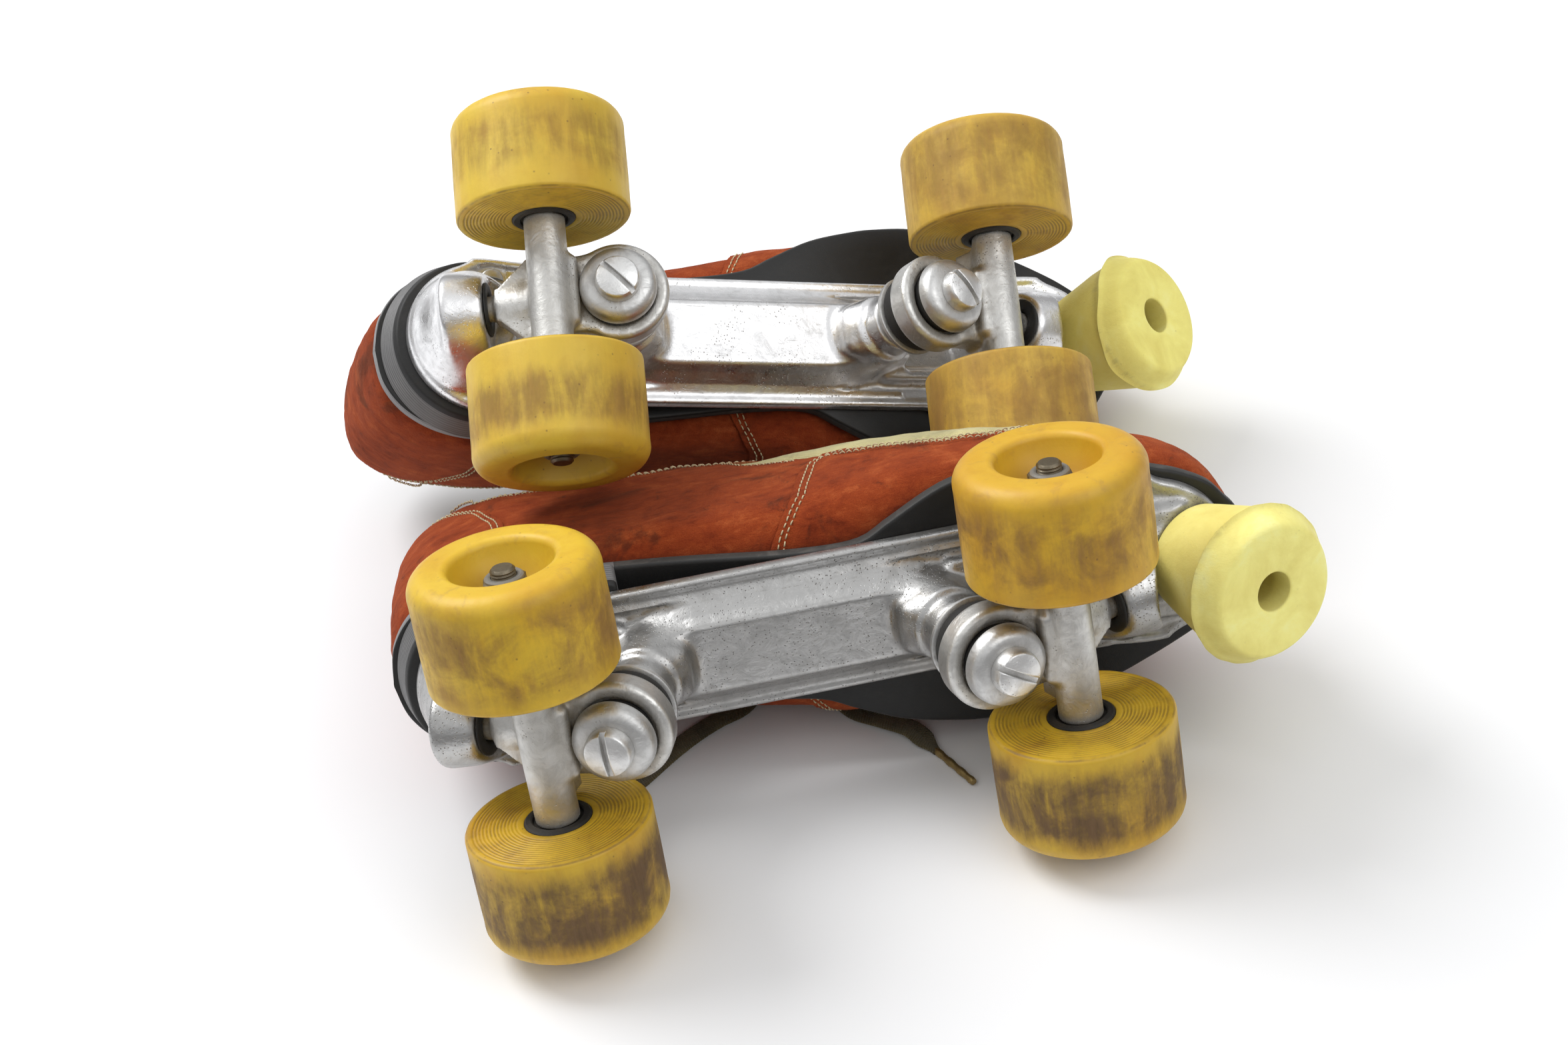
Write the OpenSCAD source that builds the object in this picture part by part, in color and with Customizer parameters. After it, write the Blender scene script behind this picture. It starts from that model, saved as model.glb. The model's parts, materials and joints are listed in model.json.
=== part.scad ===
// A pair of quad roller skates, lying on their sides as they are put down after use.
// Each skate is built upright in its own frame: origin midway between the axles at axle
// height, +X to the toe, +Y to the wearer's left, +Z towards the boot. The left skate is
// then tipped on to its outer side, and the right one, its mirror image, leans on it with
// the wheels up. All sizes are in millimetres.

/* [Wheels] */
// Diameter of a wheel
wheel_d = 60; // [58:0.5:61]
// Width of a wheel
wheel_w = 38; // [36:0.5:39]
// Distance between the mid-planes of the two wheels of one axle
track = 90; // [89:0.5:94]
// Distance between the front and rear axles
wheelbase = 168; // [166:1:170]
// Diameter of the dish where it opens in a wheel's outer face
dish_d = 33; // [30:1:36]
// Radius of a wheel's rounded outer shoulder
shoulder_r = 6; // [3:0.5:8]

/* [Bearings and axles] */
// Outer diameter of a ball bearing
bearing_d = 22; // [21:0.5:22]
// Width of a ball bearing
bearing_w = 7; // [6:0.5:7]
// Diameter of an axle
axle_d = 8; // [7:0.5:8]
// Outer diameter of a hanger's axle tube
tube_d = 14; // [12:0.5:15]

/* [Trucks] */
// Outer diameter of the ring that the kingpin passes through
ring_d = 35; // [33:0.5:36]
// Height of that ring along the kingpin
ring_h = 10; // [8:0.5:10.5]
// Diameter of a kingpin's shank
kingpin_d = 9.8; // [8:0.2:10]
// Diameter of a kingpin's slotted head
kingpin_head_d = 15.4; // [14:0.2:16]
// Lean of a kingpin from upright, its top towards the middle of the skate
kingpin_lean = 18; // [16:0.5:20]
// Diameter of a pivot pin
pivot_d = 9; // [8:0.5:9]

/* [Plate] */
// Half width of the plate's flange between the trucks
flange_y = 24.6; // [23:0.2:25]
// Half width of the flange over the trucks
flange_end_y = 27.5; // [26:0.5:28]
// Height of the plate's top face above the axles
plate_top = 50; // [50:0.5:50.5]
// Thickness of the flange
flange_t = 4; // [3:0.5:4]
// Height of the central rib's lower face above the axles
rib_z = 35; // [34:0.5:37]

/* [Toe stop] */
// Diameter of the toe stop's flat working face
stop_face_d = 44; // [40:1:46]
// Largest diameter of the toe stop
stop_d = 52; // [48:1:54]
// Diameter of the toe stop at the plate
stop_root_d = 35; // [32:1:38]
// Length of the toe stop
stop_l = 40; // [38:0.5:41]
// Diameter of the hole in the toe stop's face
stop_hole_d = 13; // [12:0.5:14]

/* [Boot] */
// Thickness of the suede
suede_t = 2.4; // [2:0.1:2.6]
// Thickness of the padded canvas inside the suede
canvas_t = 2.6; // [2:0.1:3]
// Thickness of the sole
sole_t = 5; // [4:0.5:5]
// Width of a lace
lace_w = 8; // [6:0.5:9]
// Thickness of a lace
lace_t = 1.6; // [1.2:0.1:2]

/* [Hidden] */
$fn = 64;
X = wheelbase / 2;
WR = wheel_d / 2;
WW = wheel_w / 2;
TY = track / 2;
KL = kingpin_lean;

// Where each skate's frame lies in the part's frame
origin = [-14.4, -112.2, -0.1];
left_pos = [0, 0, 68.1];
left_rot = [-103.3, 0, 0];
right_pos = [21, 162, 110.6];
right_rot = [-139.2, 19, 8.4];

// Centre of the ring and of the pivot's rounded tip, for the front truck
ring_x = X - 25.3;
ring_z = 2;
tip_x = X + 21;
tip_z = 22;
steer = [tip_x - ring_x, 0, tip_z - ring_z] / norm([tip_x - ring_x, 0, tip_z - ring_z]);
steer_a = atan2(steer[2], steer[0]);

// Toe stop: the centre of its working face and the direction that the face looks in
stop_pos = [151, 0, 6];
stop_a = 156;          // angle of that direction from +Z about +Y

// ---------------------------------------------------------------- helpers
module place_left() { translate(origin + left_pos) rotate(left_rot) children(); }
module place_right() { translate(origin + right_pos) rotate(right_rot) mirror([0, 1, 0]) children(); }
module place_pair() { translate(origin) children(); }
function arc(c, r, a0, a1, n) = [for (i = [0:n]) let(a = a0 + (a1 - a0) * i / n) [c[0] + r * cos(a), c[1] + r * sin(a)]];
function cr(t, a, b, c, d) = 0.5 * (2 * b + t * (c - a) + t * t * (2 * a - 5 * b + 4 * c - d) + t * t * t * (3 * b - a - 3 * c + d));
function at(v, i) = v[max(0, min(len(v) - 1, i))];
function spline(v, m) = [for (k = [0:(len(v) - 1) * m]) let(i = min(floor(k / m), len(v) - 2), t = k / m - i)
  cr(t, at(v, i - 1), at(v, i), at(v, i + 1), at(v, i + 2))];
function sgn_pow(c, p) = sign(c) * pow(abs(c), 2 / p);
function unit(v) = v / norm(v);
// Along +Y from the origin
module along_y(y0, y1, r) { translate([0, y0, 0]) rotate([-90, 0, 0]) cylinder(r = r, h = y1 - y0); }
// The kingpin's frame: +Z up the kingpin, origin at the ring's centre; end is 1 front, -1 rear
module on_kingpin(end) { mirror([end < 0 ? 1 : 0, 0, 0]) translate([ring_x, 0, ring_z]) rotate([0, -KL, 0]) children(); }
// The pivot's frame: +Z along the steering axis from the ring to the tip, origin at the tip's centre
module on_pivot(end) { mirror([end < 0 ? 1 : 0, 0, 0]) translate([tip_x, 0, tip_z]) rotate([0, 90 - steer_a, 0]) children(); }
// The toe stop's frame: +Z out of its working face, origin at the face's centre
module on_stop() { translate(stop_pos) rotate([0, stop_a, 0]) children(); }

// ---------------------------------------------------------------- wheels and bearings
// A wheel about the Y axis, its dished outer face towards +Y
module wheel() {
  br = bearing_d / 2;
  dr = dish_d / 2;
  rotate([-90, 0, 0]) rotate_extrude($fn = 96)
    polygon(concat(
      [[br, -WW]], arc([WR - 1.5, -WW + 1.5], 1.5, -90, 0, 3), arc([WR - shoulder_r, WW - shoulder_r], shoulder_r, 0, 90, 8),
      arc([dr + 2.5, WW - 2.5], 2.5, 90, 180, 5), [[dr - 2.2, WW - 8], [br + 0.6, WW - 12.5], [br, WW - 13]],
      [[br, WW - 20], [br - 2.5, WW - 20], [br - 2.5, -WW + 8], [br, -WW + 8]]));
}
// The two ball bearings of one wheel, one against the tube side and one at the bottom of the dish
module bearings() {
  br = bearing_d / 2 - 0.02;
  ar = axle_d / 2 + 0.05;
  for (y = [-WW + 1, WW - 20])
    translate([0, y, 0]) rotate([-90, 0, 0]) rotate_extrude()
      polygon([[ar, 0], [ar + 2, 0], [ar + 2.3, 0.4], [br - 2.3, 0.4], [br - 2, 0], [br, 0], [br, bearing_w],
        [br - 2, bearing_w], [br - 2.3, bearing_w - 0.4], [ar + 2.3, bearing_w - 0.4], [ar + 2, bearing_w], [ar, bearing_w]]);
}
// end: 1 front, -1 rear. side: 1 towards +Y, -1 towards -Y
module at_wheel(end, side) { translate([end * X, side * TY, 0]) mirror([0, side < 0 ? 1 : 0, 0]) children(); }

// ---------------------------------------------------------------- truck
module hanger(end) {
  difference() {
    union() {
      translate([end * X, 0, 0]) along_y(-TY + WW - 0.5, TY - WW + 0.5, tube_d / 2);
      on_kingpin(end) {
        translate([0, 0, -ring_h / 2]) cylinder(d = ring_d, h = ring_h);
        translate([8, -14.5, -4]) cube([20, 29, 7]);
      }
      // the solid core between the yoke and the axle tube
      mirror([end < 0 ? 1 : 0, 0, 0]) translate([X - 9, -13, -4.5]) cube([12, 26, 11]);
      // the tapering web that carries the pivot pin
      on_pivot(end) rotate([0, 90, 0]) translate([0, 0, -5])
        linear_extrude(9) polygon([[27, -16.5], [27, 16.5], [9, 5.5], [9, -5.5]]);
      on_pivot(end) { translate([0, 0, -14]) cylinder(d = pivot_d, h = 14); sphere(d = pivot_d); }
    }
    // clearance for the kingpin, and the seats that the cushions sit in
    on_kingpin(end) {
      translate([0, 0, -ring_h]) cylinder(r = 8, h = 2 * ring_h);
      translate([0, 0, ring_h / 2 - 2]) cylinder(r = 14.2, h = 3);
      translate([0, 0, -ring_h / 2 - 1]) cylinder(r = 12.6, h = 3);
    }
    translate([end * X, 0, 0]) along_y(-TY, TY, axle_d / 2 + 0.02);
  }
}
// The axle with the washer and lock nut of each end
module axle(end) {
  translate([end * X, 0, 0]) {
    along_y(-TY - 16.5, TY + 16.5, axle_d / 2);
    for (s = [0, 1]) mirror([0, s, 0]) translate([0, TY + WW - 12.7, 0]) rotate([-90, 0, 0]) difference() {
      union() { cylinder(d = 13, h = 1.2); translate([0, 0, 1.2]) cylinder(d = 15, h = 6.5, $fn = 6); }
      translate([0, 0, -1]) cylinder(d = axle_d + 0.06, h = 10);
    }
  }
}
// The lower and upper cushion of one truck
module cushions(end) {
  on_kingpin(end) difference() {
    union() {
      translate([0, 0, -10]) cylinder(r = 12, h = 6.95);
      translate([0, 0, 3.05]) cylinder(r = 13.6, h = 8.9);
    }
    translate([0, 0, -20]) cylinder(r = kingpin_d / 2 + 0.3, h = 40);
  }
}
// Cupped lower retainer and flat upper washer of both trucks
module cushion_retainers() {
  for (end = [-1, 1]) on_kingpin(end) {
    rotate_extrude() polygon([[kingpin_d / 2 + 0.1, -10.05], [12.15, -10.05], [12.15, -8.6], [13.2, -8.6], [13.2, -12.2],
      [11.4, -14], [kingpin_d / 2 + 0.1, -14]]);
    rotate_extrude() polygon([[kingpin_d / 2 + 0.1, 12], [14.6, 12], [14.6, 14], [kingpin_d / 2 + 0.1, 14]]);
  }
}
// Both kingpins, slotted, each with the jam nut that locks it against the plate
module kingpins() {
  for (end = [-1, 1]) on_kingpin(end) {
    difference() {
      union() {
        translate([0, 0, -14.05]) cylinder(d = kingpin_d, h = 53);
        rotate_extrude() polygon([[0, -20], [5.2, -20], [6.9, -19.2], [kingpin_head_d / 2, -17.6], [kingpin_head_d / 2, -14.05], [0, -14.05]]);
      }
      rotate([0, 0, 35]) translate([-10, -0.9, -21]) cube([20, 1.8, 4]);
    }
    translate([0, 0, 14.05]) difference() {
      cylinder(d = 19.6, h = 4.9, $fn = 6);
      translate([0, 0, -1]) cylinder(d = kingpin_d + 0.06, h = 8);
    }
  }
}
// Rubber cups that hold the pivot pins' tips
module pivot_cups() {
  for (end = [-1, 1]) on_pivot(end) difference() {
    translate([0, 0, -4.5]) cylinder(r = 7.9, h = 12.5);
    translate([0, 0, -5]) cylinder(d = pivot_d + 0.6, h = 5);
    sphere(d = pivot_d + 0.6);
  }
}

// ---------------------------------------------------------------- plate
module flange_outline() {
  square([200, 2 * flange_y], center = true);
  translate([-96, 0]) circle(r = flange_end_y, $fn = 96);
  translate([120, 0]) circle(r = flange_end_y + 0.5, $fn = 96);
  translate([100, 0]) square([44, 2 * flange_end_y], center = true);
  translate([-86, 0]) square([22, 2 * flange_end_y], center = true);
}
module plate() {
  z0 = plate_top - flange_t;
  difference() {
    intersection() {
      translate([-200, -60, 0]) cube([400, 120, plate_top]);
      union() {
        translate([0, 0, z0]) linear_extrude(flange_t) flange_outline();
        // stepped rib that stiffens the plate between the trucks
        translate([-70, 0, 0]) rotate([90, 0, 90]) linear_extrude(140)
          polygon([[-flange_y, z0 + 1], [-17.5, z0 - 2.5], [-14, rib_z + 4], [-11, rib_z], [11, rib_z], [14, rib_z + 4], [17.5, z0 - 2.5],
            [flange_y, z0 + 1]]);
        for (end = [-1, 1]) {
          // kingpin boss
          on_kingpin(end) { translate([0, 0, 19]) cylinder(r = 10.5, h = 30); }
          // bowl and boss around the pivot cup
          on_pivot(end) translate([0, 0, -4.5]) cylinder(r = 12.5, h = 30);
          translate([end * (tip_x + 3), 0, 32]) cylinder(r1 = 15, r2 = 21, h = 16);
        }
        // boss of the toe stop
        on_stop() translate([0, 0, -stop_l - 14]) cylinder(r1 = 26, r2 = stop_root_d / 2 - 0.5, h = 13.6);
      }
    }
    for (end = [-1, 1]) {
      on_kingpin(end) translate([0, 0, 10]) cylinder(d = kingpin_d + 0.1, h = 30);
      on_pivot(end) { translate([0, 0, -5]) cylinder(r = 8, h = 13.1); }
      // room for the hanger's web between the kingpin boss and the pivot boss
      on_pivot(end) translate([0, 0, -30]) cylinder(r = 14, h = 25.5);
    }
    on_stop() { translate([0, 0, -stop_l - 8]) cylinder(r = 4.05, h = 10); translate([0, 0, -stop_l - 0.4]) cylinder(r1 = stop_root_d / 2 + 0.4, r2 = stop_d / 2, h = 20); }
    for (x = [-92, 109]) for (y = [-21, 21]) translate([x, y, 30]) cylinder(r = 2.6, h = 40);
    for (x = [-92, 109]) for (y = [-21, 21]) translate([x, y, 30]) cylinder(r = 5.4, h = z0 - 30 + 0.6);
  }
}
// Four slotted round-head screws that hold the boot to the plate
module mounting_screws() {
  for (x = [-92, 109]) for (y = [-21, 21]) translate([x, y, 0]) difference() {
    union() {
      translate([0, 0, 44]) rotate_extrude() polygon([[0, 0], [2.4, 0.1], [3.8, 0.9], [4.4, 2.55], [0, 2.55]]);
      translate([0, 0, 46]) cylinder(r = 2.5, h = x < 0 ? 14 : 8.5);
    }
    rotate([0, 0, 30 * sign(y)]) translate([-6, -0.5, 43]) cube([12, 1, 2]);
  }
}

// ---------------------------------------------------------------- toe stop
module toe_stop() {
  a = stop_face_d / 2;
  b = stop_d / 2;
  c = stop_root_d / 2;
  h = stop_hole_d / 2;
  on_stop() rotate_extrude($fn = 96)
    polygon(concat([[h, 0], [a - 1, 0]], arc([a - 1, -1.5], 1.5, 90, 35, 3), arc([b - 1.2, -9], 1.2, 35, -20, 3),
      [[c + 1, -stop_l + 1], [c, -stop_l], [4.15, -stop_l], [4.15, -22], [h, -22]]));
}
// Bolt that clamps the toe stop to the plate
module toe_stop_bolt() {
  on_stop() {
    translate([0, 0, -stop_l - 7.5]) cylinder(r = 4, h = stop_l + 7.5 - 22);
    difference() {
      translate([0, 0, -22]) cylinder(r = 6.2, h = 5);
      translate([0, 0, -20]) cylinder(d = 6.9, h = 5, $fn = 6);
    }
  }
}

// ---------------------------------------------------------------- boot
// Stations of the boot's outer form: x, rise of its lower edge, height of its widest level,
// height of its crown, half width inwards (-Y) and half width outwards (+Y)
last_stations = [
  [-132, 17, 92, 100, 3, 3], [-129, 4, 90, 134, 14, 14], [-122, 1, 88, 158, 22, 22], [-108, 0, 86, 170, 29, 29],
  [-85, 0, 84, 175, 33, 33], [-55, 0, 84, 172, 33, 36], [-25, 0, 84, 160, 34, 38], [5, 0, 82, 147, 35, 43],
  [35, 0, 78, 136.5, 39, 48.2], [65, 0, 76, 119.5, 41, 51.2], [90, 0, 75, 103, 40.5, 49.6], [115, 0, 73, 94, 36, 43],
  [135, 1, 71, 86, 28.5, 32], [147, 3, 69, 79, 18, 19], [153, 7, 67, 72, 5, 6]];
// Height of the sole's top face along the boot: flat under the ball, arched up to the heel
function zbot(x) = x > 40 ? 55 : x < -60 ? 67 : 61 - 6 * cos(180 * (40 - x) / 100);
last_rings = spline(last_stations, 2);
LN = 24;
// One ring of the form, drawn in by d all round
function last_ring(s, d) = let(x = s[0] + d * (s[0] < -100 ? (-100 - s[0]) / 32 : s[0] > 120 ? -(s[0] - 120) / 33 : 0))
  [for (k = [0:LN - 1]) let(a = 360 * k / LN, c = cos(a), n = sin(a), zb = zbot(s[0]) + s[1] + d, w = max(1, (c > 0 ? s[5] : s[4]) - d),
    up = max(0.5, s[3] - d - s[2]), dn = max(0.5, s[2] - zb), p = n < 0 ? 3.2 : 2.4)
    [x, w * sgn_pow(c, p), s[2] + (n > 0 ? up : dn) * sgn_pow(n, p)]];
// The right boot rests on the laced part of its upper, which is pressed flat there. These give the
// floor in the right skate's frame: its upward direction and the height of the frame's origin over it
floor_up = [-0.3256, 0.6187, -0.7150];
floor_h = 110.6;
function press(q, d) = let(h = floor_h + q * floor_up, need = 2.2 + d) h < need ? q + (need - h) * floor_up : q;
module last_form(d, pressed = false) {
  rings = [for (s = last_rings) [for (q = last_ring(s, d)) pressed ? press(q, d) : q]];
  m = len(rings);
  polyhedron(
    points = [for (r = rings) for (q = r) q],
    faces = concat(
      [[for (k = [0:LN - 1]) k]],
      [for (i = [0:m - 2]) for (k = [0:LN - 1]) let(a = i * LN + k, b = i * LN + (k + 1) % LN) [a, a + LN, b + LN]],
      [for (i = [0:m - 2]) for (k = [0:LN - 1]) let(a = i * LN + k, b = i * LN + (k + 1) % LN) [a, b + LN, b]],
      [[for (k = [LN - 1:-1:0]) (m - 1) * LN + k]]));
}
function both_sides(v) = concat(v, [for (i = [len(v) - 1:-1:0]) [v[i][0], -v[i][1]]]);
// Foot opening and throat, seen from above
module foot_opening(g) {
  translate([0, 0, 92]) linear_extrude(120) polygon(both_sides([[-112 + g, 0.01], [-110 + g, 14 - g], [-100, 24 - g], [-85, 28 - g], [-71, 29 - g],
    [-50, 29 - g], [-35, 27.5 - g], [-15, 24.5 - g], [-3, 21 - g], [8, 16.5 - g], [16, 13 - g], [25, 11 - g], [68, 9 - g], [75 - g, 5 - g], [76 - g, 0.01]]));
}
// The part of the top where the suede leaves the canvas showing, with the lace facing kept
module canvas_window() {
  difference() {
    translate([0, 60, 0]) rotate([90, 0, 0]) linear_extrude(120)
      polygon([[-10, 131], [7, 114], [27, 96], [52, 82], [75, 78], [94, 78], [103, 84], [106, 92], [106, 200], [-10, 200]]);
    translate([0, 0, 60]) linear_extrude(150) polygon([[-30, -26.5], [4, -26.5], [22, -20], [84, -18], [84, 18], [22, 20], [4, 26.5], [-30, 26.5]]);
  }
}
module boot_suede(pressed = false) {
  difference() {
    last_form(0, pressed);
    last_form(suede_t, pressed);
    foot_opening(0);
    canvas_window();
  }
}
module boot_canvas(pressed = false) {
  difference() {
    last_form(suede_t + 0.1, pressed);
    last_form(suede_t + 0.1 + canvas_t, pressed);
    foot_opening(0);
  }
}
module tongue(pressed = false) {
  intersection() {
    difference() { last_form(-0.4, pressed); last_form(3.5, pressed); }
    translate([0, 0, 92]) linear_extrude(120) polygon(both_sides([[-24, 0.01], [-22, 12], [-14, 17], [-2, 18.5], [8, 15.7], [16, 12.2], [25, 10.2], [68, 8.2], [74, 4], [75, 0.01]]));
  }
}
module insole(pressed = false) {
  intersection() {
    last_form(suede_t + canvas_t + 0.4, pressed);
    translate([0, 60, 0]) rotate([90, 0, 0]) linear_extrude(120)
      polygon(concat([for (s = last_rings) if (s[0] > -126 && s[0] < 148) [s[0], zbot(s[0]) + 5.5]],
        [for (i = [len(last_rings) - 1:-1:0]) let(s = last_rings[i]) if (s[0] > -126 && s[0] < 148) [s[0], zbot(s[0]) + 9]]));
  }
}
// Sole seen from above: the outer side is +Y
sole_plan = [[-129.5, 0], [-127, 12], [-119, 22], [-105, 28.5], [-85, 30], [-55, 29.5], [-20, 29], [5, 31], [17, 36], [33, 43], [50, 47.2], [60, 48.7],
  [75, 49.4], [90, 46.5], [107, 41.6], [116, 38.2], [126, 34], [136, 29], [145, 22.5], [151, 13], [153.5, 2], [152.5, -9], [148, -16],
  [143, -22], [134, -27.4], [126, -30.6], [110, -36.5], [90, -41], [75, -41.5], [60, -39.4], [50, -35.8], [37, -29.2], [26, -24], [5, -23.5],
  [-20, -25], [-55, -27.5], [-85, -30], [-105, -28.5], [-119, -22], [-127, -12]];
module sole() {
  difference() {
    intersection() {
      linear_extrude(100) polygon(sole_plan);
      translate([0, 60, 0]) rotate([90, 0, 0]) linear_extrude(120)
        polygon(concat([[-131, 66.9]], [for (s = last_rings) if (s[0] > -131 && s[0] < 153) [s[0], zbot(s[0]) - 0.1]], [[155, 54.9], [155, 55 - sole_t]],
          [for (i = [len(last_rings) - 1:-1:0]) let(s = last_rings[i]) if (s[0] > -131 && s[0] < 153) [s[0], zbot(s[0]) - sole_t]], [[-131, 67 - sole_t]]));
    }
    for (y = [-21, 21]) translate([109, y, 40]) cylinder(r = 2.6, h = 14.8);
    // clearance for the upper end of the toe stop's bolt
    on_stop() translate([0, 0, -stop_l - 10]) cylinder(r = 5, h = 10);
  }
}
// Stacked heel between the plate and the sole
module heel() {
  difference() {
    hull() {
      translate([-97, 0, plate_top + 0.1]) cylinder(r1 = 28.5, r2 = 31, h = 67 - sole_t - plate_top - 0.3, $fn = 32);
      translate([-60, -26, plate_top + 0.1]) cube([7, 52, 1]);
      translate([-60, -27.5, 66.8 - sole_t - 1.3]) cube([7, 55, 1]);
    }
    for (y = [-21, 21]) translate([-92, y, 40]) cylinder(r = 2.6, h = 20.5);
  }
}
// Laced part of the lace: the bars that cross the tongue
module lacing(pressed = false) {
  intersection() {
    difference() { last_form(-1.9, pressed); last_form(-0.55, pressed); }
    for (x = [24, 38, 52, 66]) let(h = x > 60 ? 11.5 : 16.5) translate([x - lace_w / 2, -h, 92]) cube([lace_w, 2 * h, 80]);
  }
}

// ---------------------------------------------------------------- free ends of the left lace
// Route points in the pair's frame before the origin is moved, and the way the lace's flat face looks there
front_route = [[24, 141, 22], [25.5, 147, 14], [31, 154, 6], [40, 159, 1.6], [51, 157, 1], [57, 147, 1], [54, 134, 1], [44, 122, 1], [32, 112, 1], [21.5, 101, 1],
  [15.5, 89, 1], [14, 76, 1], [18, 64, 1.2], [27, 55, 2.2], [35, 47.5, 2.6], [39.5, 39.5, 1.6], [41.5, 35, 1.4]];
front_face = [[0, 1, 0.3], [0.1, 1, 0.5], [0.2, 0.7, 0.8], [0.1, 0.2, 1], [0, 0, 1], [0, 0, 1], [0, 0, 1], [0, 0, 1], [0, 0, 1], [0, 0, 1],
  [0, 0, 1], [0, 0, 1], [0, 0, 1], [0, 0, 1], [0, 0, 1], [0, 0, 1], [0, 0, 1]];
rear_route = [[24, 149, 50], [21, 153, 41], [17, 156, 30], [11.5, 158, 19], [4, 159, 9.5], [-5, 156, 3], [-13.5, 149, 1], [-18, 138, 1], [-18, 125, 1], [-15.5, 111, 1],
  [-13.5, 98, 1], [-14.5, 86, 1], [-20, 77, 1.2], [-29, 72.5, 1.6], [-38, 67.5, 1.4], [-47, 61, 1.1], [-57, 52, 1.1], [-66, 44, 1.2]];
rear_face = [[0, 1, -0.3], [0, 1, -0.1], [0, 1, 0.1], [0, 1, 0.3], [0, 0.7, 0.7], [0, 0.3, 1], [0, 0, 1], [0, 0, 1], [0, 0, 1], [0, 0, 1],
  [0, 0, 1], [0, 0, 1], [0, 0, 1], [0, 0, 1], [0, 0, 1], [0, 0, 1], [0, 0, 1], [0, 0, 1]];
module ribbon(route, face) {
  p = spline(route, 2);
  f = spline(face, 2);
  n = len(p);
  ring = [for (i = [0:n - 1]) let(t = unit(at(p, i + 1) - at(p, i - 1)), w = unit(cross(t, f[i])), u = cross(w, t))
    [for (k = [0:7]) let(a = 45 * k + 22.5) p[i] + w * (lace_w / 2 / cos(22.5)) * cos(a) + u * (lace_t / 2 / sin(67.5)) * sin(a)]];
  polyhedron(points = [for (r = ring) for (q = r) q],
    faces = concat([[for (k = [7:-1:0]) k]],
      [for (i = [0:n - 2]) for (k = [0:7]) let(a = i * 8 + k, b = i * 8 + (k + 1) % 8) [a, b, b + 8]],
      [for (i = [0:n - 2]) for (k = [0:7]) let(a = i * 8 + k, b = i * 8 + (k + 1) % 8) [a, b + 8, a + 8]],
      [[for (k = [0:7]) (n - 1) * 8 + k]]));
}
module aglet(from, to) {
  d = to - from;
  translate(from) rotate([0, acos(d[2] / norm(d)), atan2(d[1], d[0])]) cylinder(r = 1.4, h = norm(d));
}
aglet_front = [[41.8, 34.6, 1.5], [50.4, 16.8, 1.5]];
aglet_rear = [[-66.3, 43.7, 1.5], [-80, 32.5, 1.5]];

// ---------------------------------------------------------------- sub-parts
module left_plate() { color("silver") place_left() plate(); }
module left_boot_suede() { color("orangered") place_left() boot_suede(); }
module left_boot_canvas() { color("khaki") place_left() boot_canvas(); }
module left_tongue() { color("palegoldenrod") place_left() tongue(); }
module left_insole() { color("tan") place_left() insole(); }
module left_sole() { color([0.12, 0.12, 0.13]) place_left() sole(); }
module left_heel() { color([0.2, 0.2, 0.21]) place_left() heel(); }
module left_lacing() { color("darkkhaki") place_left() lacing(); }
module left_mounting_screws() { color("lightgray") place_left() mounting_screws(); }
module left_toe_stop() { color([0.9, 0.88, 0.35]) place_left() toe_stop(); }
module left_toe_stop_bolt() { color("gray") place_left() toe_stop_bolt(); }
module left_kingpins() { color("lightgray") place_left() kingpins(); }
module left_pivot_cups() { color([0.1, 0.1, 0.1]) place_left() pivot_cups(); }
module left_cushion_retainers() { color("darkgray") place_left() cushion_retainers(); }
module left_front_cushions() { color([0.1, 0.1, 0.1]) place_left() cushions(1); }
module left_rear_cushions() { color([0.1, 0.1, 0.1]) place_left() cushions(-1); }
module left_front_hanger() { color("silver") place_left() hanger(1); }
module left_rear_hanger() { color("silver") place_left() hanger(-1); }
module left_front_axle() { color("gray") place_left() axle(1); }
module left_rear_axle() { color("gray") place_left() axle(-1); }
module left_front_outer_wheel() { color([0.93, 0.7, 0.12]) place_left() at_wheel(1, 1) wheel(); }
module left_front_inner_wheel() { color([0.93, 0.7, 0.12]) place_left() at_wheel(1, -1) wheel(); }
module left_rear_outer_wheel() { color([0.93, 0.7, 0.12]) place_left() at_wheel(-1, 1) wheel(); }
module left_rear_inner_wheel() { color([0.93, 0.7, 0.12]) place_left() at_wheel(-1, -1) wheel(); }
module left_front_outer_bearings() { color("dimgray") place_left() at_wheel(1, 1) bearings(); }
module left_front_inner_bearings() { color("dimgray") place_left() at_wheel(1, -1) bearings(); }
module left_rear_outer_bearings() { color("dimgray") place_left() at_wheel(-1, 1) bearings(); }
module left_rear_inner_bearings() { color("dimgray") place_left() at_wheel(-1, -1) bearings(); }
module right_plate() { color("silver") place_right() plate(); }
module right_boot_suede() { color("orangered") place_right() boot_suede(true); }
module right_boot_canvas() { color("khaki") place_right() boot_canvas(true); }
module right_tongue() { color("palegoldenrod") place_right() tongue(true); }
module right_insole() { color("tan") place_right() insole(true); }
module right_sole() { color([0.12, 0.12, 0.13]) place_right() sole(); }
module right_heel() { color([0.2, 0.2, 0.21]) place_right() heel(); }
module right_lacing() { color("darkkhaki") place_right() lacing(true); }
module right_mounting_screws() { color("lightgray") place_right() mounting_screws(); }
module right_toe_stop() { color([0.9, 0.88, 0.35]) place_right() toe_stop(); }
module right_toe_stop_bolt() { color("gray") place_right() toe_stop_bolt(); }
module right_kingpins() { color("lightgray") place_right() kingpins(); }
module right_pivot_cups() { color([0.1, 0.1, 0.1]) place_right() pivot_cups(); }
module right_cushion_retainers() { color("darkgray") place_right() cushion_retainers(); }
module right_front_cushions() { color([0.1, 0.1, 0.1]) place_right() cushions(1); }
module right_rear_cushions() { color([0.1, 0.1, 0.1]) place_right() cushions(-1); }
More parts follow.
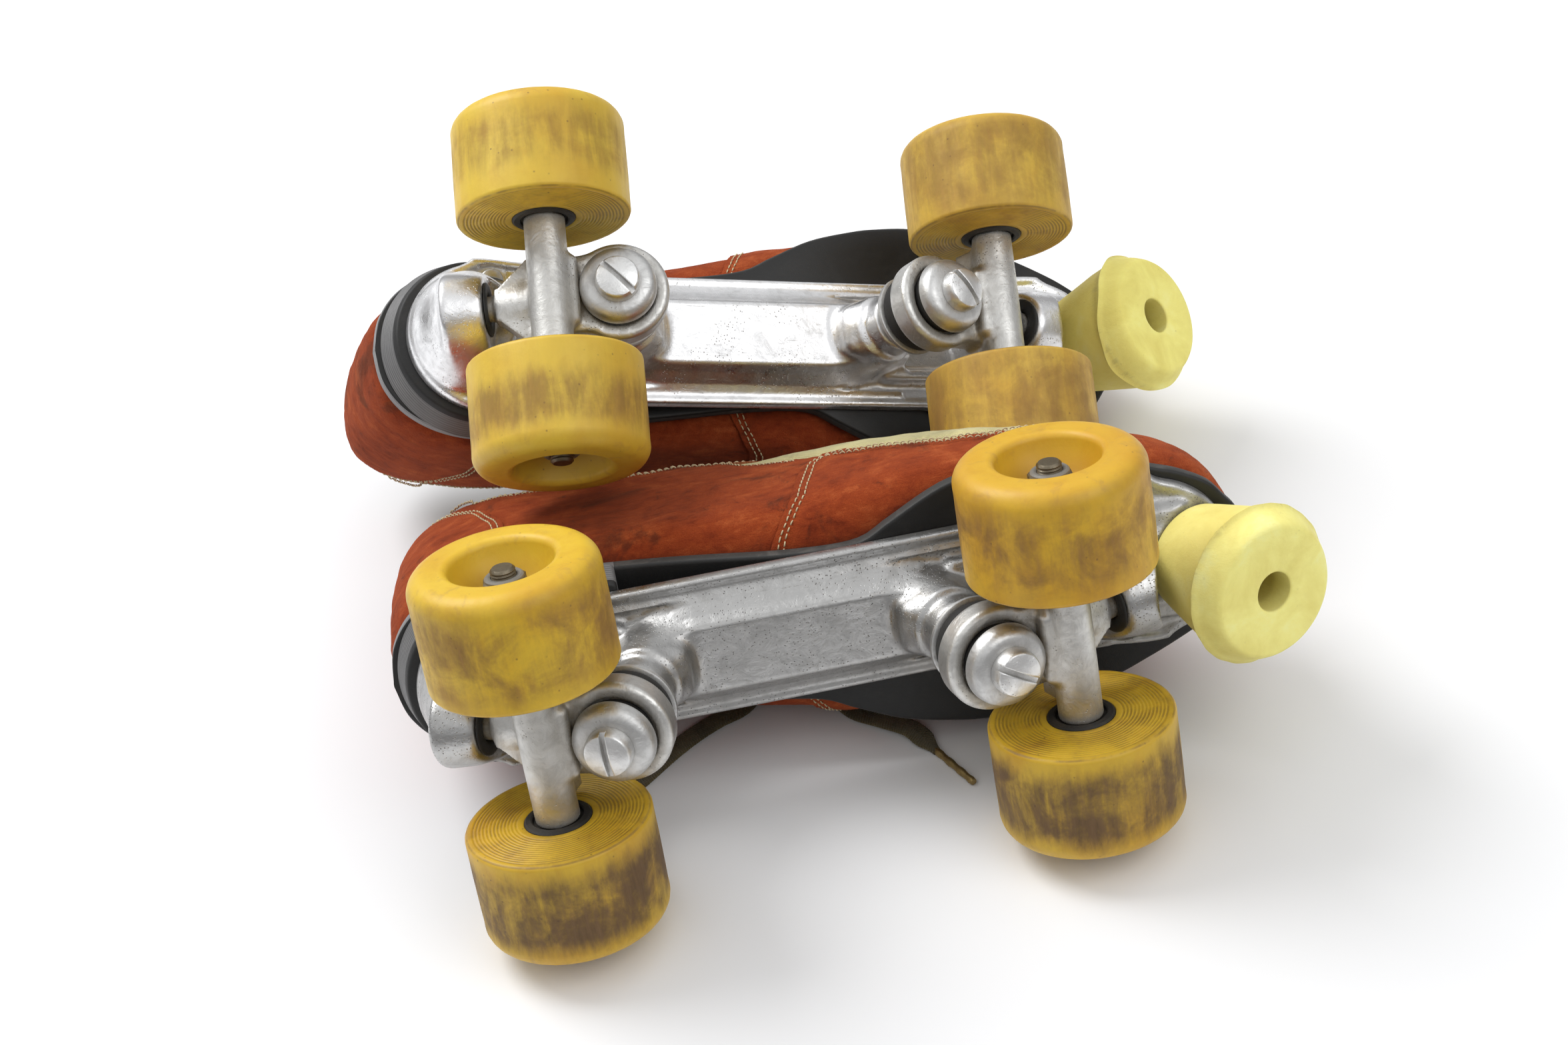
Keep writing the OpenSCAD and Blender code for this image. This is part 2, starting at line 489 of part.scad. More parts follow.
module right_front_hanger() { color("silver") place_right() hanger(1); }
module right_rear_hanger() { color("silver") place_right() hanger(-1); }
module right_front_axle() { color("gray") place_right() axle(1); }
module right_rear_axle() { color("gray") place_right() axle(-1); }
module right_front_outer_wheel() { color([0.93, 0.7, 0.12]) place_right() at_wheel(1, 1) wheel(); }
module right_front_inner_wheel() { color([0.93, 0.7, 0.12]) place_right() at_wheel(1, -1) wheel(); }
module right_rear_outer_wheel() { color([0.93, 0.7, 0.12]) place_right() at_wheel(-1, 1) wheel(); }
module right_rear_inner_wheel() { color([0.93, 0.7, 0.12]) place_right() at_wheel(-1, -1) wheel(); }
module right_front_outer_bearings() { color("dimgray") place_right() at_wheel(1, 1) bearings(); }
module right_front_inner_bearings() { color("dimgray") place_right() at_wheel(1, -1) bearings(); }
module right_rear_outer_bearings() { color("dimgray") place_right() at_wheel(-1, 1) bearings(); }
module right_rear_inner_bearings() { color("dimgray") place_right() at_wheel(-1, -1) bearings(); }
module left_lace_front_end() { color("darkkhaki") place_pair() ribbon(front_route, front_face); }
module left_lace_rear_end() { color("darkkhaki") place_pair() ribbon(rear_route, rear_face); }
module left_lace_aglets() {
  color("gold") place_pair() { aglet(aglet_front[0], aglet_front[1]); aglet(aglet_rear[0], aglet_rear[1]); }
}

left_plate();
left_boot_suede();
left_boot_canvas();
left_tongue();
left_insole();
left_sole();
left_heel();
left_lacing();
left_mounting_screws();
left_toe_stop();
left_toe_stop_bolt();
left_kingpins();
left_pivot_cups();
left_cushion_retainers();
left_front_cushions();
left_rear_cushions();
left_front_hanger();
left_rear_hanger();
left_front_axle();
left_rear_axle();
left_front_outer_wheel();
left_front_inner_wheel();
left_rear_outer_wheel();
left_rear_inner_wheel();
left_front_outer_bearings();
left_front_inner_bearings();
left_rear_outer_bearings();
left_rear_inner_bearings();
right_plate();
right_boot_suede();
right_boot_canvas();
right_tongue();
right_insole();
right_sole();
right_heel();
right_lacing();
right_mounting_screws();
right_toe_stop();
right_toe_stop_bolt();
right_kingpins();
right_pivot_cups();
right_cushion_retainers();
right_front_cushions();
right_rear_cushions();
right_front_hanger();
right_rear_hanger();
right_front_axle();
right_rear_axle();
right_front_outer_wheel();
right_front_inner_wheel();
right_rear_outer_wheel();
right_rear_inner_wheel();
right_front_outer_bearings();
right_front_inner_bearings();
right_rear_outer_bearings();
right_rear_inner_bearings();
left_lace_front_end();
left_lace_rear_end();
left_lace_aglets();
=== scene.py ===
import bpy
import json
import math
import numpy as np
import openvdb
from mathutils import Matrix, Vector

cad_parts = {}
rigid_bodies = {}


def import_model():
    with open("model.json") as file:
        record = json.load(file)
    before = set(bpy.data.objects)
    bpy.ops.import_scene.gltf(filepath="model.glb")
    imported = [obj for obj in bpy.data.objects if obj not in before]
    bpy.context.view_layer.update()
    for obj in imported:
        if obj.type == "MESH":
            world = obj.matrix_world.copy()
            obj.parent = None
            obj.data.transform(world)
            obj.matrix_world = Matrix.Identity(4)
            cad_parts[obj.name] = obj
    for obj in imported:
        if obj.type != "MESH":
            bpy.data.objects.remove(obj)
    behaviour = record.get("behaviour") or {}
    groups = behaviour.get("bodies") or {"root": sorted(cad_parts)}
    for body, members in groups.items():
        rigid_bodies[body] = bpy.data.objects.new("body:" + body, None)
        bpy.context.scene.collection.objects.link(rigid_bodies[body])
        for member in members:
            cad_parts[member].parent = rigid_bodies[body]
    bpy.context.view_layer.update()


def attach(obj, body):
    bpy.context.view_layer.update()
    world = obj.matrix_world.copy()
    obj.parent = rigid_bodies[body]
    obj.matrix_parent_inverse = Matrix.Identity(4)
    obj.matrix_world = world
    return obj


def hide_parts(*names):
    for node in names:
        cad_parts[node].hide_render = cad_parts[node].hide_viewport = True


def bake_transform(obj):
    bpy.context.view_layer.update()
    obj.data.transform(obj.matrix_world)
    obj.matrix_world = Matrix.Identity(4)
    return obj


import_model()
rng = np.random.default_rng(7)
for n in ("Cube", "Light", "Camera"):
    if n in bpy.data.objects:
        bpy.data.objects.remove(bpy.data.objects[n], do_unlink=True)

# ------------------------------------------------------------------ where each skate lies
def rx(a):
    c, s = math.cos(math.radians(a)), math.sin(math.radians(a))
    return np.array([[1, 0, 0], [0, c, -s], [0, s, c]])


def ry(a):
    c, s = math.cos(math.radians(a)), math.sin(math.radians(a))
    return np.array([[c, 0, s], [0, 1, 0], [-s, 0, c]])


def rz(a):
    c, s = math.cos(math.radians(a)), math.sin(math.radians(a))
    return np.array([[c, -s, 0], [s, c, 0], [0, 0, 1]])


ORIGIN = np.array([-14.4, -112.2, -0.1])
PLACE = {
    "left": (rx(-103.3), np.array([0, 0, 68.1]) + ORIGIN),
    "right": (rz(8.4) @ ry(19) @ rx(-139.2) @ np.diag([1.0, -1.0, 1.0]), np.array([21, 162, 110.6]) + ORIGIN),
}


def to_row(side, P):
    """Points in a skate's own frame, in mm, to the row frame in metres."""
    M, t = PLACE[side]
    return (np.asarray(P, float) @ M.T + t) / 1000.0


# ------------------------------------------------------------------ camera
def make_camera():
    cam = bpy.data.objects.new("camera", bpy.data.cameras.new("camera"))
    bpy.context.scene.collection.objects.link(cam)
    cam.data.sensor_width = 36.0
    cam.data.lens = 3906.65 / 2352 * 36.0
    cam.data.clip_start, cam.data.clip_end = 0.05, 50
    r = Vector((0.981, -0.1444, -0.1295)).normalized()
    f = Vector((0.0389, 0.8027, -0.601)).normalized()
    u = r.cross(f).normalized()
    r = f.cross(u).normalized()
    m = Matrix((r, u, -f)).transposed().to_4x4()
    m.translation = Vector(((np.array([-28.6, -615.8, 595.9]) + ORIGIN) / 1000.0).tolist())
    cam.matrix_world = m
    bpy.context.scene.camera = cam
    return cam


make_camera()

# ------------------------------------------------------------------ meshes
def mesh_object(name, V, F, mats, mat_index=None, loc=None, smooth=True, sharp=None, flip=False):
    """V in metres in the row frame; loc is each vertex's place in its own frame, in mm, for the materials."""
    me = bpy.data.meshes.new(name)
    if flip:
        F = [tuple(reversed(f)) for f in F] if not isinstance(F, np.ndarray) else F[:, ::-1]
    V = np.array(V, float)
    V[:, 2] = np.maximum(V[:, 2], 0.0)   # soft parts that touch the floor lie flat on it
    me.from_pydata(V.tolist(), [], F.tolist() if isinstance(F, np.ndarray) else [list(map(int, f)) for f in F])
    me.update()
    ob = bpy.data.objects.new(name, me)
    bpy.context.scene.collection.objects.link(ob)
    for m in mats:
        me.materials.append(m)
    if mat_index is not None:
        me.polygons.foreach_set("material_index", np.asarray(mat_index, np.int32))
    if loc is not None:
        a = me.attributes.new("loc", "FLOAT_VECTOR", "POINT")
        a.data.foreach_set("vector", np.asarray(loc, np.float32).ravel())
    me.polygons.foreach_set("use_smooth", np.full(len(me.polygons), smooth))
    if sharp is not None:
        me.set_sharp_from_angle(angle=math.radians(sharp))
    return ob


def piece(name, side, V, F, mats, body, slot, replaces=(), loc=None, **kw):
    """A piece given in a skate's own frame, in mm."""
    ob = mesh_object(name, to_row(side, V), F, mats, loc=V if loc is None else loc, flip=(side == "right"), **kw)
    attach(ob, body)
    if replaces:
        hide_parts(*replaces)
    return ob


def join(parts):
    """[(V, F, material index)] to one (V, F, index list)."""
    Vs, Fs, Is, n = [], [], [], 0
    for p in parts:
        V, F = np.asarray(p[0], float), p[1]
        k = p[2] if len(p) > 2 else 0
        Vs.append(V)
        for f in F:
            Fs.append(tuple(int(i) + n for i in f))
        Is += [k] * len(F)
        n += len(V)
    return np.vstack(Vs), Fs, Is


def lathe(profile, seg=128, closed=False, wobble=None):
    """Turns (r, t) points about the t axis. An open profile ends on the axis (r = 0) or is closed into a ring."""
    pr = [(float(r), float(t)) for r, t in profile]
    V, rows = [], []
    ang = np.linspace(0, 2 * math.pi, seg, endpoint=False)
    for r, t in pr:
        if r < 1e-6:
            rows.append([len(V)] * seg)
            V.append((0, 0, t))
        else:
            rows.append(list(range(len(V), len(V) + seg)))
            rr = np.full(seg, r)
            tt = np.full(seg, t)
            if wobble:
                rr, tt = wobble(rr, tt, ang)
            V += [(a * math.cos(g), a * math.sin(g), b) for a, b, g in zip(rr, tt, ang)]
    F = []
    n = len(rows)
    for i in range(n if closed else n - 1):
        A, B = rows[i], rows[(i + 1) % n]
        for k in range(seg):
            k2 = (k + 1) % seg
            f = [A[k], A[k2], B[k2], B[k]]
            g = []
            for q in f:
                if q not in g:
                    g.append(q)
            if len(g) > 2:
                F.append(tuple(g))
    return np.array(V), F


def arc(cx, cy, r, a0, a1, n):
    return [(cx + r * math.cos(math.radians(a0 + (a1 - a0) * i / n)), cy + r * math.sin(math.radians(a0 + (a1 - a0) * i / n))) for i in range(n + 1)]


def move(V, R=None, t=(0, 0, 0)):
    V = np.asarray(V, float)
    if R is not None:
        V = V @ np.asarray(R).T
    return V + np.asarray(t, float)


def frame_z(axis, up=(0, 1, 0)):
    """Rotation that takes +Z to axis."""
    z = np.asarray(axis, float)
    z = z / np.linalg.norm(z)
    y = np.asarray(up, float)
    y = y - z * (y @ z)
    y = y / np.linalg.norm(y)
    return np.column_stack([np.cross(y, z), y, z])


def mirror_x(V, F):
    V = np.asarray(V, float).copy()
    V[:, 0] *= -1
    return V, (F[:, ::-1] if isinstance(F, np.ndarray) else [tuple(reversed(f)) for f in F])


def mirror_y(V, F):
    V = np.asarray(V, float).copy()
    V[:, 1] *= -1
    return V, [tuple(reversed(f)) for f in F]


def tube(path, r, seg=8, ends=True):
    """A round tube along points."""
    P = np.asarray(path, float)
    n = len(P)
    V, F = [], []
    up = None
    for i in range(n):
        d = P[min(i + 1, n - 1)] - P[max(i - 1, 0)]
        d = d / np.linalg.norm(d)
        if up is None:
            up = np.cross(d, [0, 0, 1.0]) if abs(d[2]) < 0.9 else np.cross(d, [1.0, 0, 0])
        up = up - d * (up @ d)
        up = up / np.linalg.norm(up)
        w = np.cross(d, up)
        rr = r[i] if hasattr(r, "__len__") else r
        V += [P[i] + rr * (math.cos(a) * up + math.sin(a) * w) for a in np.linspace(0, 2 * math.pi, seg, endpoint=False)]
    for i in range(n - 1):
        for k in range(seg):
            a, b = i * seg + k, i * seg + (k + 1) % seg
            F.append((a, b, b + seg, a + seg))
    if ends:
        F.append(tuple(range(seg - 1, -1, -1)))
        F.append(tuple((n - 1) * seg + k for k in range(seg)))
    return np.array(V), F


# ------------------------------------------------------------------ distance fields for the castings
class Field:
    def __init__(self, lo, hi, h):
        self.lo, self.h = np.array(lo, float), h
        n = np.ceil((np.array(hi) - self.lo) / h).astype(int) + 1
        ax = [self.lo[i] + h * np.arange(n[i]) for i in range(3)]
        self.X, self.Y, self.Z = np.meshgrid(*[a.astype(np.float32) for a in ax], indexing="ij")
        self.d = np.full(self.X.shape, 50, np.float32)

    def local(self, origin, R):
        """Coordinates along the columns of R, from origin."""
        x, y, z = self.X - origin[0], self.Y - origin[1], self.Z - origin[2]
        return [x * R[0, i] + y * R[1, i] + z * R[2, i] for i in range(3)]

    def mesh(self):
        g = openvdb.FloatGrid(30.0)
        g.copyFromArray(np.clip(self.d, -30, 30).astype(np.float32))
        p, q = g.convertToQuads(isovalue=0.0)
        return p.astype(float) * self.h + self.lo, np.asarray(q, int)[:, ::-1]


def smin(a, b, k):
    h = np.clip(0.5 + 0.5 * (b - a) / k, 0, 1)
    return b + (a - b) * h - k * h * (1 - h)


def smax(a, b, k):
    return -smin(-a, -b, k)


def s_box(x, y, z, c, hs, r=0.0):
    q = [np.abs(x - c[0]) - (hs[0] - r), np.abs(y - c[1]) - (hs[1] - r), np.abs(z - c[2]) - (hs[2] - r)]
    out = np.sqrt(np.maximum(q[0], 0) ** 2 + np.maximum(q[1], 0) ** 2 + np.maximum(q[2], 0) ** 2)
    return out + np.minimum(np.maximum(q[0], np.maximum(q[1], q[2])), 0) - r


def s_cyl(x, y, z, r0, r1, z0, z1, rr=0.0):
    """A cone or cylinder along z, edges rounded by rr."""
    t = np.clip((z - z0) / (z1 - z0), 0, 1)
    rad = (r0 + (r1 - r0) * t) - rr
    cs = 1 / math.sqrt(1 + ((r1 - r0) / (z1 - z0)) ** 2)
    a = (np.sqrt(x * x + y * y) - rad) * cs
    b = np.abs(z - (z0 + z1) / 2) - (abs(z1 - z0) / 2 - rr)
    return np.sqrt(np.maximum(a, 0) ** 2 + np.maximum(b, 0) ** 2) + np.minimum(np.maximum(a, b), 0) - rr


def s_poly(x, y, pts):
    """Signed distance in the plane to a polygon."""
    P = np.asarray(pts, float)
    d = np.full(x.shape, 1e9, np.float32)
    s = np.ones(x.shape, np.float32)
    n = len(P)
    for i in range(n):
        a, b = P[i], P[i - 1]
        e = b - a
        wx, wy = x - a[0], y - a[1]
        t = np.clip((wx * e[0] + wy * e[1]) / (e @ e), 0, 1)
        d = np.minimum(d, (wx - e[0] * t) ** 2 + (wy - e[1] * t) ** 2)
        c1, c2, c3 = y >= a[1], y < b[1], e[0] * wy > e[1] * wx
        m = (c1 & c2 & c3) | (~c1 & ~c2 & ~c3)
        s = np.where(m, -s, s)
    return s * np.sqrt(d)


def s_extrude(d2, z, z0, z1, r=0.0):
    b = np.abs(z - (z0 + z1) / 2) - abs(z1 - z0) / 2
    if r > 0:
        d2, b = d2 + r, b + r
    return np.sqrt(np.maximum(d2, 0) ** 2 + np.maximum(b, 0) ** 2) + np.minimum(np.maximum(d2, b), 0) - r


# the trucks' own frames, for the front truck
WX, RING, TIP = 84.0, np.array([58.7, 0, 2.0]), np.array([105.0, 0, 22.0])
KL = math.radians(18)
K_AX = np.array([-math.sin(KL), 0, math.cos(KL)])
R_KING = frame_z(K_AX)
STEER = (TIP - RING) / np.linalg.norm(TIP - RING)
R_PIV = frame_z(STEER)
STOP_POS = np.array([151.0, 0, 6.0])
STOP_D = np.array([math.sin(math.radians(156)), 0, math.cos(math.radians(156))])
R_STOP = frame_z(STOP_D)


# ------------------------------------------------------------------ castings
FLY, FEY = 24.6, 27.5
SCREWS = [(-92, -21), (-92, 21), (109, -21), (109, 21)]


def plate_mesh():
    f = Field((-127, -31, 10), (151, 31, 52), 0.62)
    X, Y, Z = f.X, f.Y, f.Z
    d2 = np.maximum(np.abs(X) - 100, np.abs(Y) - FLY)
    d2 = smin(d2, np.sqrt((X + 96) ** 2 + Y ** 2) - FEY, 3)
    d2 = smin(d2, np.sqrt((X - 120) ** 2 + Y ** 2) - (FEY + 0.5), 3)
    d2 = smin(d2, np.maximum(np.abs(X - 100) - 22, np.abs(Y) - FEY), 8)
    d2 = smin(d2, np.maximum(np.abs(X + 86) - 11, np.abs(Y) - FEY), 8)
    flange = s_extrude(d2, Z, 46.0, 50.0, 1.0)
    # a raised bead along the flange's edge; the real one is broken and worn, this one runs whole
    bead = s_extrude(np.abs(d2 + 1.6) - 1.2, Z, 45.0, 49.0, 0.9)
    d = smin(flange, bead, 1.5)
    # the stepped rib between the trucks: its half width falls towards both ends
    end = np.clip((np.abs(X) - 30) / 17, 0, 1)
    w = 1 - 0.32 * end * end
    sec = [(-24.0, 50), (-24.0, 47.5), (-17.5, 43.5), (-14.2, 39.5), (-11.4, 35), (11.4, 35), (14.2, 39.5), (17.5, 43.5), (24.0, 47.5), (24.0, 50)]
    rib = s_poly(np.where(np.abs(Y) < 18, Y / w, Y), Z, sec) * 0.93
    # a shallow hollow along the rib's face, and a groove where it meets the flange
    rib = smax(rib, -(np.sqrt((Z - 8.6) ** 2 + (Y * 0.3) ** 2) - 26.9), 1.6)
    rib = np.maximum(rib, np.abs(X) - 62)
    rib = smax(rib, -((Z - 27) * 0.75 - (np.abs(X) - 47.5) * 0.66 + 0 * X) - 7.5, 5)
    d = smin(d, rib, 1.4)
    for e in (1, -1):
        E = np.diag([e, 1.0, 1.0])
        k = f.local(E @ RING, E @ R_KING)
        boss = s_cyl(k[0], k[1], k[2], 10.6, 12.2, 19, 50, 1.2)
        boss = smin(boss, s_cyl(k[0], k[1], k[2], 12.6, 14.6, 27, 52, 1.0), 3)
        # the boss runs on into the rib as a tapering neck
        neck = s_box(X, Y, Z, (e * 45, 0, 37.5), (10, 8.2, 9.5), 3)
        d = smin(d, smin(boss, neck, 5), 4.5)
        p = f.local(E @ TIP, E @ R_PIV)
        cup = s_cyl(p[0], p[1], p[2], 9.7, 13.5, -4.5, 10.5, 2.4)
        dome = (np.sqrt(((X - e * 103.5) / 19.0) ** 2 + (Y / 21.5) ** 2 + ((Z - 45) / 27.5) ** 2) - 1) * 19.0
        d = smin(d, smin(cup, dome, 8), 4)
        # two low ridges run from the pivot's dome to the kingpin's boss
        for s in (1, -1):
            ridge = s_box(X, Y, Z, (e * 76, s * 12.5, 45), (22, 2.2, 3.2), 1.6)
            d = smin(d, ridge, 3)
    st = f.local(STOP_POS, R_STOP)
    nose = s_cyl(st[0], st[1], st[2], 25, 17.2, -54, -40.4, 2.2)
    d = smin(d, nose, 6)
    # webs on both sides of the nose
    for s in (1, -1):
        d = smin(d, s_box(X, Y, Z, (124, s * 17, 44.5), (9, 2.4, 3.5), 1.8), 3)
    d = smax(d, Z - 50.0, 0.4)
    d = smax(d, d2 - 0.05, 0.8)
    for e in (1, -1):
        E = np.diag([e, 1.0, 1.0])
        k = f.local(E @ RING, E @ R_KING)
        d = np.maximum(d, -s_cyl(k[0], k[1], k[2], 4.95, 4.95, 0, 40.3))
        p = f.local(E @ TIP, E @ R_PIV)
        d = smax(d, -s_cyl(p[0], p[1], p[2], 8.0, 8.0, -8, 8.1), 0.5)
        d = smax(d, -s_cyl(p[0], p[1], p[2], 14.0, 14.0, -34, -4.6), 1.2)
    d = np.maximum(d, -s_cyl(st[0], st[1], st[2], 4.05, 4.05, -stop_depth, -20))
    d = smax(d, -s_cyl(st[0], st[1], st[2], 22.5, 30, -40.4, -20), 0.8)
    for x, y in SCREWS:
        d = np.maximum(d, -s_cyl(X - x, Y - y, Z, 2.6, 2.6, 30, 60))
        d = smax(d, -s_cyl(X - x, Y - y, Z, 6.6, 5.6, 28, 46.3), 1.0)
    f.d = d
    return f.mesh()


stop_depth = 48.0


def hanger_mesh():
    f = Field((34, -30, -20), (108, 30, 32), 0.5)
    X, Y, Z = f.X, f.Y, f.Z
    d = s_cyl(X - WX, Z, Y, 7.15, 7.15, -26.4, 26.4, 0.7)
    k = f.local(RING, R_KING)
    ring = s_cyl(k[0], k[1], k[2], 17.5, 16.9, -5, 5, 2.2)
    yoke = s_box(k[0], k[1], k[2], (18, 0, -0.5), (11, 12.5, 3.8), 1.6)
    core = s_box(X, Y, Z, (WX - 2.5, 0, 0.6), (7.5, 12.6, 4.9), 2.5)
    body = smin(ring, smin(yoke, core, 3), 3.5)
    # the ribs at both sides of the yoke
    for s in (1, -1):
        body = smin(body, s_box(k[0], k[1], k[2], (17, s * 12.0, 0), (9.5, 1.8, 5.0), 1.2), 1.6)
    d = smin(d, body, 2.6)
    p = f.local(TIP, R_PIV)
    # the web: a plate that tapers to the pivot pin, with a ridge along its middle
    a = -p[2]
    half = 4.9 + np.clip((a - 9) / 16, 0, 1.2) * 14.5
    web = np.maximum(np.maximum(np.abs(p[1]) - half, np.abs(p[0]) - 3.6) * 0.86, np.maximum(8.6 - a, a - 30))
    ridge = s_cyl(p[0], p[1], p[2], 8.6, 4.5, -27, -8, 1.5)
    web = smin(web - 0.7, ridge, 3)
    d = smin(d, web, 3.2)
    pin = s_cyl(p[0], p[1], p[2], 4.5, 4.5, -14, 0.01)
    pin = np.minimum(pin, np.sqrt(p[0] ** 2 + p[1] ** 2 + p[2] ** 2) - 4.5)
    d = smin(d, pin, 0.8)
    d = np.maximum(d, -s_cyl(k[0], k[1], k[2], 8, 8, -12, 12))
    d = smax(d, -s_cyl(k[0], k[1], k[2], 14.3, 14.3, 3.0, 12), 0.6)
    d = smax(d, -s_cyl(k[0], k[1], k[2], 12.7, 12.7, -12, -3.0), 0.6)
    d = np.maximum(d, -s_cyl(X - WX, Z, Y, 4.03, 4.03, -40, 40))
    f.d = d
    return f.mesh()


# ------------------------------------------------------------------ turned and small parts
def wheel_profile():
    W, R, sr, dr, br = 19.0, 30.0, 6.0, 16.5, 11.0
    pr = [(br, -W + 0.25), (br + 0.3, -W), (12.8, -W)]
    # turned rings on the inner face
    r = 13.0
    while r < 26.8:
        pr += [(r, -W), (r + 0.28, -W + 0.22), (r + 0.62, -W + 0.22), (r + 0.9, -W)]
        r += 1.15
    pr += [(28.0, -W)] + arc(28.4, -17.4, 1.6, -90, 0, 7)
    pr += [(30.0, -12), (30.06, -6), (30.03, 0), (29.98, 6), (29.9, 10.5)]
    pr += arc(23.6, 12.6, 6.4, 4, 84, 14)
    pr += [(22.5, 19.0), (20.8, 19.02)] + arc(18.9, 16.4, 2.6, 78, 172, 10)
    pr += [(15.9, 14.6), (15.1, 12.6), (14.1, 10.4), (13.0, 8.6), (12.1, 7.2), (11.6, 6.6), (11.05, 6.3), (11.0, 6.0)]
    pr += [(11.0, -1.0), (8.5, -1.0), (8.5, -11.0), (11.0, -11.0)]
    return pr


def wheel_mesh(seed):
    g = np.random.default_rng(seed)
    ph, am = g.uniform(0, 6.28, 6), g.uniform(0.3, 1, 6)

    def wob(rr, tt, ang):
        # worn out of round by a little, and chewed along the shoulders
        w = sum(am[i] * np.sin((i + 1) * ang + ph[i]) for i in range(3)) * 0.03
        c = np.clip((rr - 20) / 8, 0, 1)
        nick = sum(am[i] * np.sin((9 + 7 * i) * ang + ph[i]) for i in range(6)) * 0.02
        return rr + c * (w + nick), tt

    V, F = lathe(wheel_profile(), 160, closed=True, wobble=wob)
    return V, F


def bearing_mesh():
    parts = []
    for t0, seal in ((-18.0, 0), (-1.0, 1)):
        pr = [(4.05, t0 + 0.3), (4.35, t0), (5.6, t0), (5.75, t0 + 0.5), (9.2, t0 + 0.45), (9.35, t0), (10.7, t0), (10.98, t0 + 0.3), (10.98, t0 + 6.7), (10.7, t0 + 7),
              (9.35, t0 + 7), (9.2, t0 + 6.55), (5.75, t0 + 6.5), (5.6, t0 + 7), (4.35, t0 + 7), (4.05, t0 + 6.7)]
        V, F = lathe(pr, 72, closed=True)
        # faces of the shields take the dark material
        idx = []
        for f in F:
            r = np.hypot(V[list(f), 0], V[list(f), 1]).mean()
            idx.append(1 if 5.7 < r < 9.3 else 0)
        parts.append((V, F, 0, idx))
    # rubber seal that stands around the tube on the inner face
    V, F = lathe([(8.25, -19.4), (8.7, -19.7), (10.2, -19.5), (10.9, -18.9), (10.9, -18.1), (5.0, -18.1), (5.0, -18.3), (8.0, -18.4)], 72, closed=True)
    parts.append((V, F, 0, [1] * len(F)))
    Vs, Fs, Is, n = [], [], [], 0
    for V, F, _, idx in parts:
        Vs.append(V); Fs += [tuple(i + n for i in f) for f in F]; Is += idx; n += len(V)
    return np.vstack(Vs), Fs, Is


def hex_nut(t0, h, circ, bore, chamfer=0.8, n=12):
    """A chamfered hexagon nut about z, made of rings of 6n points."""
    seg = 6 * n
    ang = np.linspace(0, 2 * math.pi, seg, endpoint=False)
    apo = circ * math.cos(math.pi / 6)
    hexr = apo / np.cos((ang + math.pi / 6) % (math.pi / 3) - math.pi / 6)
    rows = []

    def row(fr, t):
        rows.append([(a * math.cos(g), a * math.sin(g), t) for a, g in zip(fr, ang)])

    inner = np.full(seg, bore)
    row(inner + 0.5, t0)
    row(np.minimum(hexr, apo * 1.0) - 0.3, t0)
    row(np.minimum(hexr, circ - 0.05) * 1.0, t0 + np.mean(chamfer) * 0.5)
    row(hexr, t0 + chamfer)
    row(hexr, t0 + h - chamfer)
    row(np.minimum(hexr, apo * 1.07), t0 + h - chamfer * 0.4)
    row(np.minimum(hexr, apo) - 0.35, t0 + h)
    row(inner + 0.6, t0 + h)
    row(inner, t0 + h - 0.6)
    row(inner, t0 + 0.5)
    V = np.array([p for r in rows for p in r])
    F = []
    m = len(rows)
    for i in range(m):
        for k in range(seg):
            a, b = i * seg + k, i * seg + (k + 1) % seg
            c, d = ((i + 1) % m) * seg + (k + 1) % seg, ((i + 1) % m) * seg + k
            F.append((a, b, c, d))
    return V, F


def axle_mesh():
    parts = []
    # threaded rod: the thread shows beyond the nuts
    pr = [(0, -61.5), (3.2, -61.5), (3.9, -60.8)]
    t = -60.6
    while t < -51:
        pr += [(3.98, t), (3.55, t + 0.5)]
        t += 1.0
    pr += [(3.98, t), (3.98, 51)]
    t = 51.2
    while t < 60.6:
        pr += [(3.55, t), (3.98, t + 0.5)]
        t += 1.0
    pr += [(3.9, 60.8), (3.2, 61.5), (0, 61.5)]
    V, F = lathe(pr, 40)
    parts.append((V, F, 0))
    for s in (1, -1):
        W, G = lathe([(4.05, 51.32), (6.2, 51.32), (6.5, 51.5), (6.5, 52.35), (6.2, 52.5), (4.05, 52.5)], 48, closed=True)
        N, H = hex_nut(52.52, 5.3, 7.5, 4.05)
        # domed collar with the locking insert
        C, L = lathe([(4.05, 57.6), (6.2, 57.6), (6.1, 58.5), (5.5, 59.0), (4.6, 59.0), (4.1, 58.7)], 48, closed=True)
        if s < 0:
            for q in (W, N, C):
                q[:, 2] *= -1
            G, H, L = ([tuple(reversed(f)) for f in x] for x in (G, H, L))
        parts += [(W, G, 0), (N, H, 0), (C, L, 1)]
    V, F, I = join(parts)
    return move(V, rx(-90)), F, I


